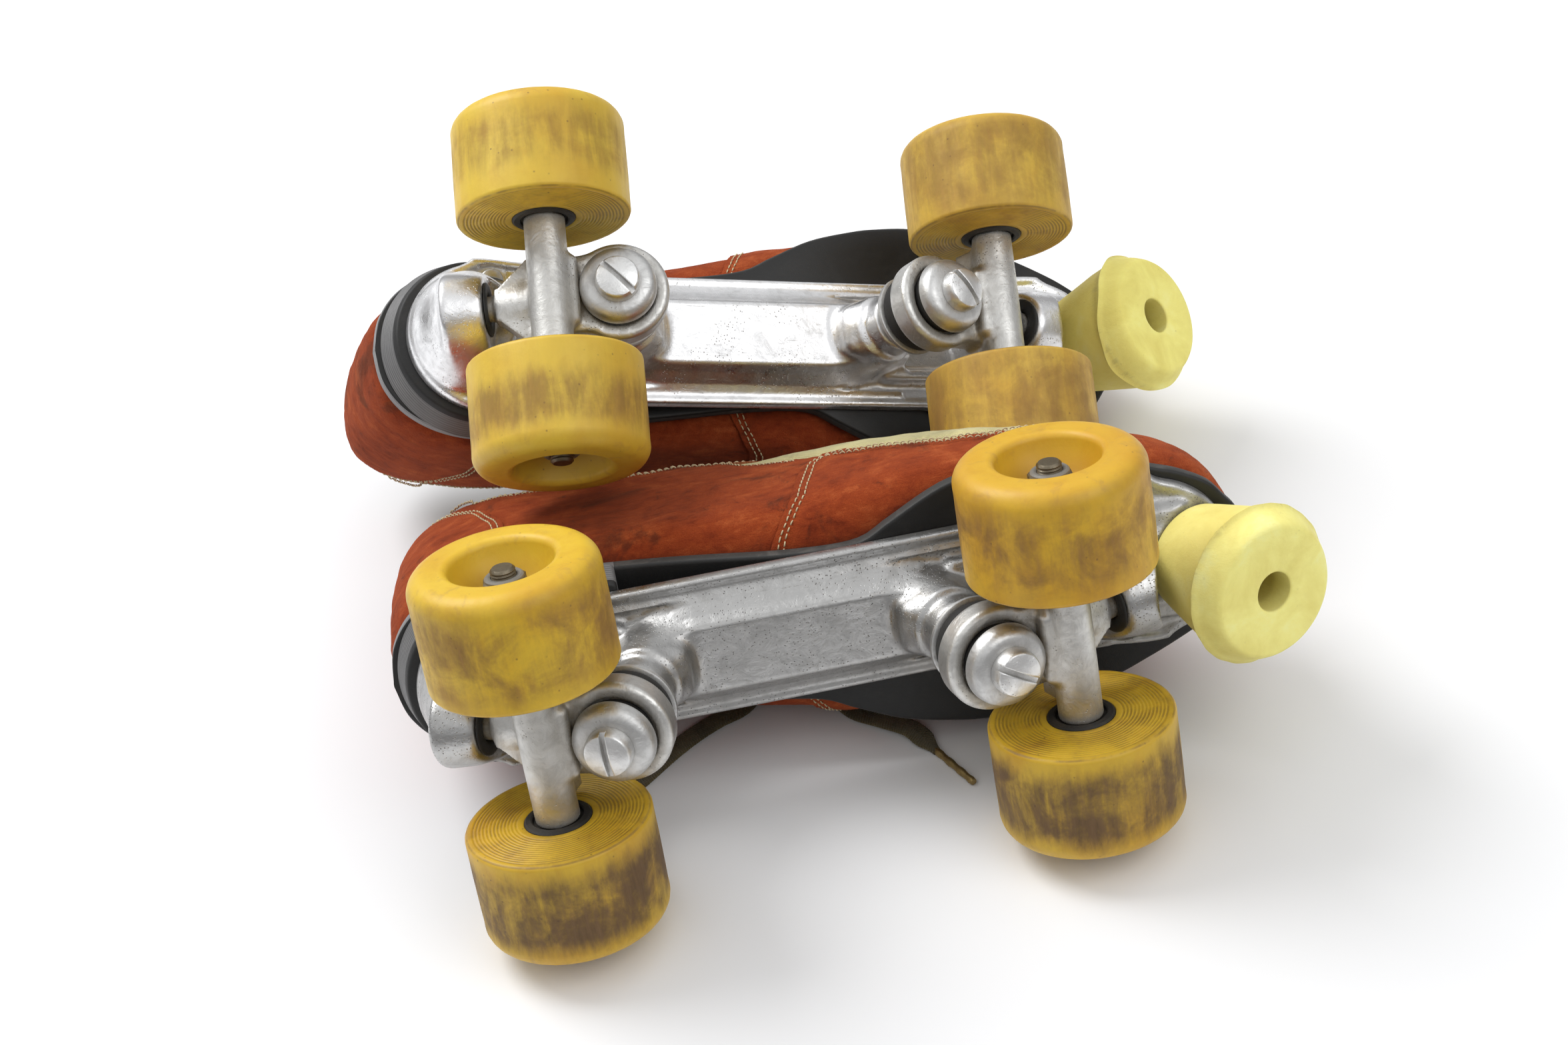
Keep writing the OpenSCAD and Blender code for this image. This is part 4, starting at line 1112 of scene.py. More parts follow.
def cast_metal(name, tint, rough, grime, pit, seed, polish=0.0, grime_col=(0.11, 0.085, 0.05)):
    """Cast or drawn metal with scratches, grey pits and grime in the corners."""
    M = Mat(name, Metallic=1.0, Specular_IOR_Level=0.5)
    off = M.map(M.loc, loc=(seed * 9.1, seed * 4.7, seed * 2.9))
    big = M.noise(off, 0.03, 4, 0.6)
    fine = M.noise(off, 0.5, 6, 0.65)
    scr = M.noise(M.map(off, scale=(0.05, 2.4, 1.4), rot=(0.1, 0.2, 0.35)), 1.0, 4, 0.7, 0.2)
    scr2 = M.noise(M.map(off, scale=(0.07, 2.0, 2.6), rot=(0.3, -0.2, -0.5)), 1.0, 4, 0.7, 0.1)
    line = M.math("MAXIMUM", M.step(scr, 0.66, 0.72), M.step(scr2, 0.68, 0.74))
    pits = M.math("SUBTRACT", 1.0, M.step(M.voronoi(off, 0.9), 0.10, 0.24))
    pits = M.math("MULTIPLY", pits, M.step(M.noise(off, 0.05, 4, 0.6), 0.62 - 0.25 * pit, 0.72 - 0.2 * pit))
    ao = M.ao(0.008, 5)
    corner = M.math("SUBTRACT", 1.0, M.step(ao, 0.25, 0.9))
    dirt = M.math("MULTIPLY", corner, M.step(M.noise(off, 0.18, 5, 0.7), 0.3, 0.62))
    dirt = M.math("MAXIMUM", dirt, M.math("MULTIPLY", M.step(M.noise(off, 0.055, 6, 0.7), 0.6, 0.78), 0.35))
    dirt = M.math("MULTIPLY", dirt, grime, clamp=True)
    dull = M.step(big, 0.42, 0.62)
    c0 = M.mix(M.math("MULTIPLY", dull, 0.6 - 0.4 * polish), tint, tuple(c * 0.72 for c in tint))
    mott = M.noise(off, 0.16, 6, 0.72, 0.6)
    c0 = M.mix(M.math("MULTIPLY", M.step(mott, 0.42, 0.66), 0.42), c0, tuple(c * 0.55 for c in tint))
    c0 = M.mix(M.math("MULTIPLY", fine, 0.22), c0, tuple(c * 0.5 for c in tint))
    col = M.mix(M.math("MULTIPLY", pits, 0.75), c0, tuple(c * 0.25 for c in tint))
    col = M.mix(dirt, col, grime_col)
    M.set("Base Color", col)
    M.set("Metallic", M.math("SUBTRACT", 1.0, M.math("ADD", M.math("MULTIPLY", dirt, 0.8), M.math("MULTIPLY", pits, 0.3), clamp=True)))
    rr = M.math("ADD", rough, M.math("MULTIPLY", dull, 0.16 * (1 - polish)))
    rr = M.math("ADD", rr, M.math("MULTIPLY", M.math("SUBTRACT", mott, 0.5), 0.5))
    rr = M.math("ADD", rr, M.math("MULTIPLY", line, -0.06))
    rr = M.math("ADD", rr, M.math("MULTIPLY", M.math("MAXIMUM", dirt, pits), 0.4), clamp=True)
    M.set("Roughness", rr)
    h = M.math("ADD", M.math("MULTIPLY", pits, -1.0), M.math("MULTIPLY", line, -0.35))
    h = M.math("ADD", h, M.math("MULTIPLY", fine, 0.35 * (1.2 - polish)))
    h = M.math("ADD", h, M.math("MULTIPLY", M.noise(off, 0.12, 3), 0.8 * (1 - 0.4 * polish)))
    h = M.math("ADD", h, M.math("MULTIPLY", mott, 0.7))
    M.set("Normal", M.bump(h, 0.5 - 0.15 * polish, 0.0007))
    return M.m


def suede(name, seed, hue=(0.42, 0.082, 0.022)):
    M = Mat(name, Roughness=0.95, Specular_IOR_Level=0.15, Sheen_Weight=0.18, Sheen_Roughness=0.45, Sheen_Tint=(1.0, 0.45, 0.25, 1.0))
    off = M.map(M.loc, loc=(seed * 11.3, seed * 5.9, seed * 2.3))
    nap = M.noise(off, 0.05, 6, 0.7, 0.6)
    nap2 = M.noise(M.map(off, scale=(0.4, 1.0, 1.2), rot=(0, 0.5, 0)), 0.22, 6, 0.72, 0.5)
    grain = M.noise(off, 2.6, 5, 0.75)
    col = M.ramp(M.math("ADD", M.math("MULTIPLY", nap, 0.55), M.math("MULTIPLY", nap2, 0.45)),
                 [(0.36, tuple(c * k for c, k in zip(hue, (0.42, 0.34, 0.4)))), (0.46, tuple(c * k for c, k in zip(hue, (0.82, 0.75, 0.8)))), (0.53, hue), (0.64, tuple(c * k for c, k in zip(hue, (1.4, 1.9, 2.2))))])
    col = M.mix(M.math("MULTIPLY", M.step(grain, 0.45, 0.62), 0.42), col, tuple(c * k for c, k in zip(hue, (0.5, 0.4, 0.45))))
    col = M.mix(M.math("MULTIPLY", M.step(M.noise(off, 3.4, 3, 0.6), 0.6, 0.7), 0.25), col, tuple(c * k for c, k in zip(hue, (1.5, 2.1, 2.6))))
    # dark smudges of dirt, and painted shade near the sole and in creases
    sm = M.step(M.noise(off, 0.035, 5, 0.65, 0.8), 0.56, 0.68)
    sm2 = M.step(M.noise(M.map(off, loc=(40, 12, 7)), 0.09, 6, 0.7, 0.8), 0.6, 0.7)
    col = M.mix(M.math("MULTIPLY", M.math("MAXIMUM", sm, sm2), 0.55), col, (0.045, 0.018, 0.012))
    # painted shade: ambient occlusion darkens the suede where it meets the sole and other parts
    ao = M.ao(0.01, 5)
    col = M.mix(M.math("MULTIPLY", M.math("SUBTRACT", 1.0, M.step(ao, 0.2, 0.85)), 0.5), col, (0.03, 0.012, 0.01))
    M.set("Base Color", col)
    h = M.math("ADD", M.math("MULTIPLY", grain, 0.8), M.math("MULTIPLY", M.noise(off, 0.7, 5, 0.7), 0.6))
    h = M.math("ADD", h, M.math("MULTIPLY", nap2, 0.9))
    M.set("Normal", M.bump(h, 0.75, 0.0012))
    return M.m


def suede_edge():
    M = Mat("suede_raw_edge", Roughness=1.0, Specular_IOR_Level=0.1)
    n = M.noise(None, 1.2, 4, 0.7)
    M.set("Base Color", M.ramp(n, [(0.35, (0.16, 0.05, 0.02)), (0.6, (0.42, 0.16, 0.07))]))
    M.set("Normal", M.bump(M.noise(None, 2.5, 4, 0.8), 0.6, 0.0006))
    return M.m


def canvas(name, tint=(0.62, 0.52, 0.25), scale=1.0, dirt=0.3):
    M = Mat(name, Roughness=0.95, Specular_IOR_Level=0.12, Sheen_Weight=0.25, Sheen_Roughness=0.5)
    x, y, z = M.sep(M.loc)
    # a plain weave laid over the form: along x, and round it by height and width together
    v = M.math("ADD", z, M.math("MULTIPLY", y, 0.8))
    a = M.math("SINE", M.math("MULTIPLY", x, 9.0 * scale))
    b = M.math("SINE", M.math("MULTIPLY", v, 9.0 * scale))
    w = M.math("MULTIPLY", M.math("ADD", M.math("MULTIPLY", a, b), 1.0), 0.5)
    n = M.noise(None, 0.05, 5, 0.65, 0.5)
    f = M.noise(None, 1.6, 4, 0.7)
    col = M.ramp(n, [(0.3, tuple(c * 0.72 for c in tint)), (0.55, tint), (0.75, tuple(min(1, c * 1.18) for c in tint))])
    col = M.mix(M.math("MULTIPLY", w, 0.28), col, tuple(c * 0.55 for c in tint))
    col = M.mix(M.math("MULTIPLY", M.step(f, 0.5, 0.7), 0.25), col, tuple(c * 0.7 for c in tint))
    col = M.mix(M.math("MULTIPLY", M.step(M.noise(None, 0.06, 5, 0.7, 1.0), 0.55, 0.7), dirt), col, (0.10, 0.075, 0.04))
    M.set("Base Color", col)
    M.set("Normal", M.bump(M.math("ADD", w, M.math("MULTIPLY", f, 0.5)), 0.6, 0.0005))
    return M.m


def black_rubber(name, tint=(0.012, 0.012, 0.013), rough=0.55, lines=None, dust=0.25, worn=(0.05, 0.048, 0.045)):
    M = Mat(name, Roughness=rough, Specular_IOR_Level=0.45)
    n = M.noise(None, 0.08, 5, 0.65, 0.4)
    f = M.noise(None, 1.3, 5, 0.7)
    col = M.mix(M.math("MULTIPLY", M.step(n, 0.48, 0.7), dust), tint, worn)
    h = M.math("MULTIPLY", f, 0.5)
    if lines:
        x, y, z = M.sep(M.loc)
        zz = M.math("ADD", z, M.math("MULTIPLY", M.noise(M.map(M.loc, scale=(0.05, 0.05, 0.2)), 1.0, 3), 0.8))
        l = M.math("SINE", M.math("MULTIPLY", zz, lines))
        l = M.math("ADD", M.math("MULTIPLY", l, 0.5), 0.5)
        l2 = M.noise(M.map(M.loc, scale=(0.06, 0.06, 2.6)), 1.0, 4, 0.7)
        col = M.mix(M.math("MULTIPLY", M.math("MULTIPLY", l, l2), 0.75), col, tuple(c * 2.6 for c in worn))
        h = M.math("ADD", h, M.math("ADD", M.math("MULTIPLY", l, 0.7), M.math("MULTIPLY", l2, 1.0)))
    col = M.mix(M.math("MULTIPLY", M.step(f, 0.6, 0.72), 0.3), col, tuple(c * 1.6 for c in worn))
    M.set("Base Color", col)
    M.set("Roughness", M.math("ADD", rough - 0.1, M.math("MULTIPLY", n, 0.3)))
    M.set("Normal", M.bump(h, 0.35, 0.0005))
    return M.m


def stop_rubber(name, seed, lemon=(0.80, 0.70, 0.10)):
    M = Mat(name, Roughness=0.62, Specular_IOR_Level=0.4)
    off = M.map(M.loc, loc=(seed * 5.1, seed * 9.7, seed * 3.3))
    x, y, z = M.sep(M.loc)
    r = M.math("SQRT", M.math("ADD", M.math("MULTIPLY", x, x), M.math("MULTIPLY", y, y)))
    n = M.noise(off, 0.05, 5, 0.6, 0.4)
    f = M.noise(off, 0.6, 6, 0.7)
    col = M.ramp(n, [(0.32, tuple(c * k for c, k in zip(lemon, (0.86, 0.82, 0.7)))), (0.55, lemon), (0.72, tuple(min(1, c * k) for c, k in zip(lemon, (1.06, 1.1, 1.5))))])
    # the bevel behind the worn edge is painted a little darker: painted shade on the side that turns from the light
    side = M.math("SUBTRACT", 1.0, M.step(z, -9.6, -8.4))
    col = M.mix(M.math("MULTIPLY", side, 0.38), col, tuple(c * k for c, k in zip(lemon, (0.8, 0.7, 0.5))))
    ridge = M.math("MULTIPLY", M.step(z, -12.5, -9.4), M.math("SUBTRACT", 1.0, M.step(z, -8.9, -7.2)))
    smear = M.step(M.noise(M.map(off, scale=(0.3, 0.3, 0.08)), 1.0, 6, 0.7, 0.5), 0.5, 0.68)
    col = M.mix(M.math("MULTIPLY", M.math("MULTIPLY", ridge, M.math("ADD", M.math("MULTIPLY", smear, 0.6), 0.4)), 0.42), col, (0.30, 0.24, 0.07))
    spots = M.step(M.noise(off, 0.22, 6, 0.7), 0.64, 0.74)
    col = M.mix(M.math("MULTIPLY", spots, 0.3), col, (0.28, 0.2, 0.06))
    # painted shade: the colour inside the bolt hole is darkened where shade falls
    inside = M.math("SUBTRACT", 1.0, M.step(r, 6.2, 6.9))
    col = M.mix(M.math("MULTIPLY", inside, 0.55), col, (0.14, 0.09, 0.02))
    M.set("Base Color", col)
    M.set("Roughness", M.math("ADD", 0.5, M.math("MULTIPLY", f, 0.25)))
    # sanding marks on the working face
    scr = M.noise(M.map(off, scale=(0.1, 1.6, 1.0), rot=(0, 0, 0.6)), 1.0, 4, 0.7)
    M.set("Normal", M.bump(M.math("ADD", M.math("MULTIPLY", f, 0.6), M.math("MULTIPLY", scr, 0.5)), 0.4, 0.0006))
    M.set("Subsurface Weight", 0.1)
    M.set("Subsurface Radius", (1.0, 0.8, 0.2))
    M.set("Subsurface Scale", 0.003)
    return M.m


def webbing(name, tint=(0.23, 0.19, 0.095)):
    """Flat woven lace; loc is (across, along, up) in mm."""
    M = Mat(name, Roughness=0.95, Specular_IOR_Level=0.12, Sheen_Weight=0.2)
    x, y, z = M.sep(M.loc)
    ax = M.math("ABSOLUTE", x)
    a = M.math("SINE", M.math("ADD", M.math("MULTIPLY", y, 6.5), M.math("MULTIPLY", ax, 5.0)))
    b = M.math("SINE", M.math("MULTIPLY", x, 7.5))
    w = M.math("ADD", M.math("MULTIPLY", M.math("MULTIPLY", a, b), 0.5), 0.5)
    n = M.noise(None, 0.12, 4, 0.6)
    col = M.ramp(n, [(0.35, tuple(c * 0.6 for c in tint)), (0.6, tint), (0.8, tuple(c * 1.5 for c in tint))])
    col = M.mix(M.math("MULTIPLY", w, 0.4), col, tuple(c * 0.4 for c in tint))
    M.set("Base Color", col)
    M.set("Normal", M.bump(w, 0.8, 0.0006))
    return M.m


def plain(name, tint, rough=0.5, metal=0.0, var=0.25, scale=0.4, bump=0.2, spec=0.5):
    M = Mat(name, Roughness=rough, Metallic=metal, Specular_IOR_Level=spec)
    n = M.noise(None, scale, 5, 0.65)
    f = M.noise(None, scale * 6, 4, 0.7)
    col = M.mix(M.math("MULTIPLY", M.step(n, 0.4, 0.65), var), tint, tuple(c * 0.45 for c in tint))
    M.set("Base Color", M.mix(M.math("MULTIPLY", f, var * 0.5), col, tuple(min(1, c * 1.4) for c in tint)))
    M.set("Roughness", M.math("ADD", rough, M.math("MULTIPLY", M.math("SUBTRACT", n, 0.5), 0.3)))
    M.set("Normal", M.bump(f, bump, 0.0004))
    return M.m


# ------------------------------------------------------------------ the finishes
YEL = (0.74, 0.52, 0.058)
DRK = (0.16, 0.080, 0.026)
WHEELS = {
    ("left", "front", "inner"): urethane("urethane_left_front_inner", 1, (0.69, 0.42, 0.028), DRK, (-13, 10), 0.74, 0.7, 0.25, 0.85),
    ("left", "front", "outer"): urethane("urethane_left_front_outer", 2, (0.66, 0.43, 0.03), (0.082, 0.044, 0.020), (-13, 12), 0.98, 0.88, 0.38, 0.95),
    # the left skate's outer wheels lie against the floor: their brown band is dirt, and its darker value than on the
    # other wheels is painted shade
    ("left", "rear", "inner"): urethane("urethane_left_rear_inner", 3, (0.72, 0.48, 0.032), DRK, (-13, 11), 0.78, 0.6, 0.3, 0.85),
    ("left", "rear", "outer"): urethane("urethane_left_rear_outer", 4, (0.66, 0.43, 0.03), (0.082, 0.044, 0.020), (-13, 12), 1.04, 0.88, 0.38, 0.95),
    ("right", "front", "inner"): urethane("urethane_right_front_inner", 5, (0.65, 0.42, 0.055), DRK, (-16, 16), 0.86, 0.4, 0.4, 0.7),
    ("right", "front", "outer"): urethane("urethane_right_front_outer", 6, (0.67, 0.44, 0.055), DRK, (-15, 15), 0.86, 0.4, 0.4, 0.66),
    ("right", "rear", "inner"): urethane("urethane_right_rear_inner", 7, YEL, DRK, (-6, 10), 0.92, 0.85, 0.6, 0.75),
    ("right", "rear", "outer"): urethane("urethane_right_rear_outer", 8, YEL, DRK, (-9, 9), 0.8, 0.85, 0.6, 0.62),
}
# the axle steel's dark brown tint is partly grime and partly painted shade of the deep wheel dishes the nuts sit in
M_STEEL = cast_metal("axle_steel", (0.21, 0.18, 0.13), 0.45, 0.9, 0.3, 3, 0.4)
M_NYLON = plain("lock_nut_insert", (0.20, 0.19, 0.17), 0.5, 0.0)
M_SHIELD = black_rubber("bearing_seal", (0.015, 0.014, 0.013), 0.5, dust=0.4, worn=(0.07, 0.055, 0.035))
M_RACE = cast_metal("bearing_race", (0.50, 0.47, 0.42), 0.3, 0.8, 0.3, 5, 0.4)
M_ZINC = {s: cast_metal("truck_casting_" + s, (0.74, 0.735, 0.71), 0.40, 0.75, 0.5, k, 0.3, (0.15, 0.11, 0.05)) for s, k in (("left", 11), ("right", 12))}
M_PLATE = {"left": cast_metal("plate_left", (0.53, 0.528, 0.52), 0.33, 0.7, 0.95, 21, 0.6, (0.09, 0.075, 0.055)),
           "right": cast_metal("plate_right", (0.93, 0.93, 0.935), 0.31, 0.45, 0.45, 22, 0.85, (0.12, 0.10, 0.08))}
M_KING = cast_metal("kingpin_steel", (0.90, 0.90, 0.89), 0.36, 0.3, 0.35, 31, 0.5)
M_CUP = cast_metal("retainer_steel", (0.70, 0.70, 0.69), 0.42, 0.5, 0.2, 32, 0.6)
M_SCREW = cast_metal("screw_steel", (0.62, 0.61, 0.58), 0.3, 0.7, 0.2, 33, 0.5)
M_CUSHION = black_rubber("cushion_rubber", (0.014, 0.013, 0.012), 0.6, dust=0.3)
M_PIVOT = black_rubber("pivot_rubber", (0.012, 0.012, 0.012), 0.5, dust=0.2)
M_STOP = {"left": stop_rubber("stop_left", 1, (0.97, 0.89, 0.29)), "right": stop_rubber("stop_right", 2, (0.96, 0.87, 0.25))}
M_SUEDE = {"left": suede("suede_left", 1, (0.42, 0.070, 0.017)), "right": suede("suede_right", 2, (0.39, 0.064, 0.016))}
M_RAW = suede_edge()
M_CANVAS = canvas("canvas", (0.70, 0.63, 0.31))
M_LINING = canvas("canvas_lining", (0.50, 0.42, 0.24), 0.8, 0.5)
M_THREAD = plain("stitching_thread", (0.62, 0.52, 0.33), 0.9, 0.0, 0.5, 0.5, 0.3, 0.1)
M_TONGUE = suede("tongue_suede", 3, (0.30, 0.06, 0.02))
M_INSOLE = plain("insole_fibre", (0.24, 0.17, 0.09), 0.95, 0.0, 0.5, 0.15, 0.5, 0.1)
M_SOLE = black_rubber("sole_black", (0.009, 0.009, 0.009), 0.42, dust=0.3, worn=(0.03, 0.029, 0.028))
M_SOLE_EDGE = black_rubber("sole_edge", (0.035, 0.034, 0.032), 0.6, dust=0.5, worn=(0.13, 0.12, 0.11))
M_HEEL = black_rubber("heel_stack", (0.115, 0.115, 0.117), 0.34, lines=5.7, dust=0.5, worn=(0.15, 0.148, 0.145))
M_LACE = webbing("lace_webbing", (0.155, 0.125, 0.058))
M_AGLET = plain("aglet_brass", (0.35, 0.25, 0.10), 0.4, 0.8, 0.5, 0.5, 0.3)
# painted shade: near-black standing for the shade inside a punched hole; no piece takes this material
M_HOLE = plain("punched_hole", (0.02, 0.012, 0.008), 0.95, 0.0, 0.2, 0.5, 0.2, 0.1)

# ------------------------------------------------------------------ running gear
def frames(end):
    """Sign of x, for the front and rear trucks alike."""
    return 1 if end == "front" else -1


def for_end(V, F, end):
    return (V, F) if end == "front" else mirror_x(V, F)


HANGER = hanger_mesh()
PLATE = plate_mesh()


def smooth_verts(V, F, n=1, k=0.5):
    """Evens out the field mesh's stair steps a little."""
    F = np.asarray(F)
    e = np.vstack([F[:, [0, 1]], F[:, [1, 2]], F[:, [2, 3]], F[:, [3, 0]]])
    for _ in range(n):
        S = np.zeros_like(V)
        c = np.zeros(len(V))
        for a, b in ((0, 1), (1, 0)):
            np.add.at(S, e[:, a], V[e[:, b]])
            np.add.at(c, e[:, a], 1)
        V = V + k * (S / c[:, None] - V)
    return V


HANGER = (smooth_verts(HANGER[0], HANGER[1], 1, 0.4), HANGER[1])
PLATE = (smooth_verts(PLATE[0], PLATE[1], 1, 0.4), PLATE[1])


def orient_out(V, F):
    """Turns a closed mesh's faces outward."""
    V = np.asarray(V, float)
    vol = 0.0
    if isinstance(F, np.ndarray):
        groups = [F]
    else:
        by = {}
        for f in F:
            by.setdefault(len(f), []).append(f)
        groups = [np.array(g, int) for g in by.values()]
    for g in groups:
        a = V[g[:, 0]]
        for j in range(1, g.shape[1] - 1):
            vol += (a * np.cross(V[g[:, j]], V[g[:, j + 1]])).sum()
    if vol > 0:
        return F
    return F[:, ::-1] if isinstance(F, np.ndarray) else [tuple(reversed(f)) for f in F]


def build_running_gear(side):
    body = side + "_skate"
    piece(side + "_plate_casting", side, PLATE[0], orient_out(*PLATE), [M_PLATE[side]], body, "plate", [side + "_plate"], sharp=38)
    king, ret, cups = [], [], []
    slot_turn = {"left": {"front": 125, "rear": 2}, "right": {"front": 38, "rear": 138}}[side]
    for end in ("front", "rear"):
        truck = f"{side}_{end}_truck"
        V, F = for_end(*HANGER, end)
        piece(f"{side}_{end}_hanger_casting", side, V, orient_out(V, F), [M_ZINC[side]], truck, "hanger", [f"{side}_{end}_hanger"], sharp=38)
        V, F, I = axle_mesh()
        piece(f"{side}_{end}_axle_rod", side, move(V, None, (frames(end) * WX, 0, 0)), F, [M_STEEL, M_NYLON], truck, "axle", [f"{side}_{end}_axle"], mat_index=I, sharp=35)
        for io in ("outer", "inner"):
            wb = f"{side}_{end}_{io}_wheel"
            seed = {"left": 0, "right": 40}[side] + {"front": 0, "rear": 10}[end] + {"outer": 1, "inner": 2}[io]
            V, F = wheel_mesh(seed)
            P = move(V, rx(-90), (frames(end) * WX, 45, 0))
            B, G, I = bearing_mesh()
            Q = move(B, rx(-90), (frames(end) * WX, 45, 0))
            if io == "inner":
                P, F = mirror_y(P, F)
                Q, G = mirror_y(Q, G)
            turn = rz(seed * 53.0)
            piece(f"{side}_{end}_{io}_tyre", side, P, orient_out(P, F), [WHEELS[(side, end, io)]], wb, "wheel", [wb], loc=V @ turn.T, sharp=40)
            piece(f"{side}_{end}_{io}_ball_bearings", side, Q, G, [M_RACE, M_SHIELD], wb, "bearings", [f"{side}_{end}_{io}_bearings"], loc=B, mat_index=I, sharp=30)
        # kingpin with its slotted head and jam nut, in the kingpin's own frame
        hd, hf = slotted_head(7.7, -14.05, 1.3, 4.6, 1.9, 2.7)
        hd = move(hd, rz(slot_turn[end]))
        pr = [(0, -14.3), (4.9, -14.3)]
        t = 11.8
        while t < 20.6:
            pr += [(4.9, t), (4.55, t + 0.55)]
            t += 1.1
        pr += [(4.9, 20.9), (4.9, 38.6), (4.5, 39.0), (0, 39.0)]
        sh, sf = lathe(pr, 48)
        nt, nf = hex_nut(14.05, 4.9, 9.8, 4.95)
        V, F, _ = join([(hd, orient_out(hd, hf), 0), (sh, orient_out(sh, sf), 0), (nt, orient_out(nt, nf), 0)])
        V = move(V, R_KING, RING)
        king.append((*for_end(V, F, end), 0))
        cp, cf = lathe([(5.0, -14.0), (7.8, -14.0), (10.4, -13.75), (12.0, -12.9), (12.9, -11.6), (13.2, -10.2), (13.35, -8.6), (13.3, -7.95), (13.0, -7.65), (12.55, -7.7), (12.4, -8.0), (12.4, -8.6), (12.12, -10.05), (5.0, -10.05)], 96, closed=True)
        uw, uf = lathe([(5.0, 12.05), (14.1, 12.05), (14.6, 12.45), (14.6, 13.55), (14.1, 13.95), (5.0, 13.95)], 96, closed=True)
        V, F, _ = join([(cp, orient_out(cp, cf), 0), (uw, orient_out(uw, uf), 0)])
        ret.append((*for_end(move(V, R_KING, RING), F, end), 0))
        pc, pf = lathe([(0, 4.8)] + arc(0, 0, 4.8, 80, 0, 7) + [(4.8, -4.6), (5.2, -5.2), (6.2, -5.6), (8.6, -5.6), (9.4, -5.2), (9.5, -4.8), (8.9, -4.62), (7.9, -4.55), (7.9, 7.7), (7.6, 8.0), (0, 8.0)], 64)
        V = move(pc, R_PIV, TIP)
        cups.append((*for_end(V, orient_out(pc, pf), end), 0))
        # cushions: each lathed to fit between the ring at one face and the fixed cup or washer at the other, as they
        # sit at rest
        for nm, prof, s0, s1, a, b in (
            ("lower", [(5.2, -9.95), (11.3, -9.95), (11.9, -9.4), (12.05, -8.2), (12.2, -6.6), (12.0, -4.4), (11.6, -3.5), (11.0, -3.1), (5.2, -3.1)], -10.0, -3.05, body, truck),
            ("upper", [(5.2, 3.1), (12.9, 3.1), (13.5, 3.7), (13.65, 5.2), (14.3, 7.0), (14.35, 8.8), (13.9, 10.8), (13.3, 11.7), (12.7, 11.92), (5.2, 11.92)], 3.05, 11.95, truck, body)):
            cv, cf2 = lathe(prof, 80, closed=True)
            P, F = for_end(move(cv, R_KING, RING), orient_out(cv, cf2), end)
            ob = mesh_object(f"{side}_{end}_{nm}_cushion", to_row(side, P), F, [M_CUSHION], loc=P, flip=(side == "right"), sharp=50)
            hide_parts(f"{side}_{end}_cushions")
            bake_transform(ob)
    V, F, _ = join(king)
    piece(side + "_kingpin_set", side, V, F, [M_KING], body, "kingpins", [side + "_kingpins"], sharp=30)
    V, F, _ = join(ret)
    piece(side + "_cushion_retainer_set", side, V, F, [M_CUP], body, "cushion_retainers", [side + "_cushion_retainers"], sharp=40)
    V, F, _ = join(cups)
    piece(side + "_pivot_cup_set", side, V, F, [M_PIVOT], body, "pivot_cups", [side + "_pivot_cups"], sharp=50)
    # mounting screws: slotted at the heel, plain round at the toe
    parts = []
    for i, (x, y) in enumerate(SCREWS):
        if x < 0:
            hd, hf = slotted_head(4.4, 46.55, 1.0, 1.5, 1.1, 1.1, rim=0.7)
            hd = move(hd, rz(40 + 37 * i), (x, y, 0))
        else:
            hd, hf = lathe([(0, 44.0), (1.8, 44.08), (3.2, 44.5), (4.1, 45.3), (4.4, 46.1), (4.4, 46.55), (0, 46.55)], 40)
            hd = move(hd, None, (x, y, 0))
        top = 60.0 if x < 0 else 54.5
        sh, sf = lathe([(0, 46.5), (2.5, 46.5), (2.5, top - 0.6), (2.0, top), (0, top)], 24)
        sh = move(sh, None, (x, y, 0))
        parts += [(hd, orient_out(hd, hf), 0), (sh, orient_out(sh, sf), 0)]
    V, F, _ = join(parts)
    piece(side + "_screw_set", side, V, F, [M_SCREW], body, "mounting_screws", [side + "_mounting_screws"], sharp=35)
    # toe stop, worn to a bevel behind its face
    wavy = side == "right"

    def wob(rr, tt, ang):
        c = np.exp(-((tt + 9.0) / 3.2) ** 2) * (rr > 20)
        if wavy:
            t2 = tt + c * (1.9 * np.sin(2 * ang + 0.6) + 0.8 * np.sin(3 * ang + 1.0) + 0.3 * np.sin(9 * ang))
            return rr - c * 0.5 * (1 + np.sin(2 * ang + 2.0)), np.minimum(t2, -0.9 * (tt < -0.9) + tt * (tt >= -0.9))
        return rr + c * 0.10 * np.sin(11 * ang) + c * 0.07 * np.sin(23 * ang + 1), tt + c * 0.35 * np.sin(2 * ang + 1.2)

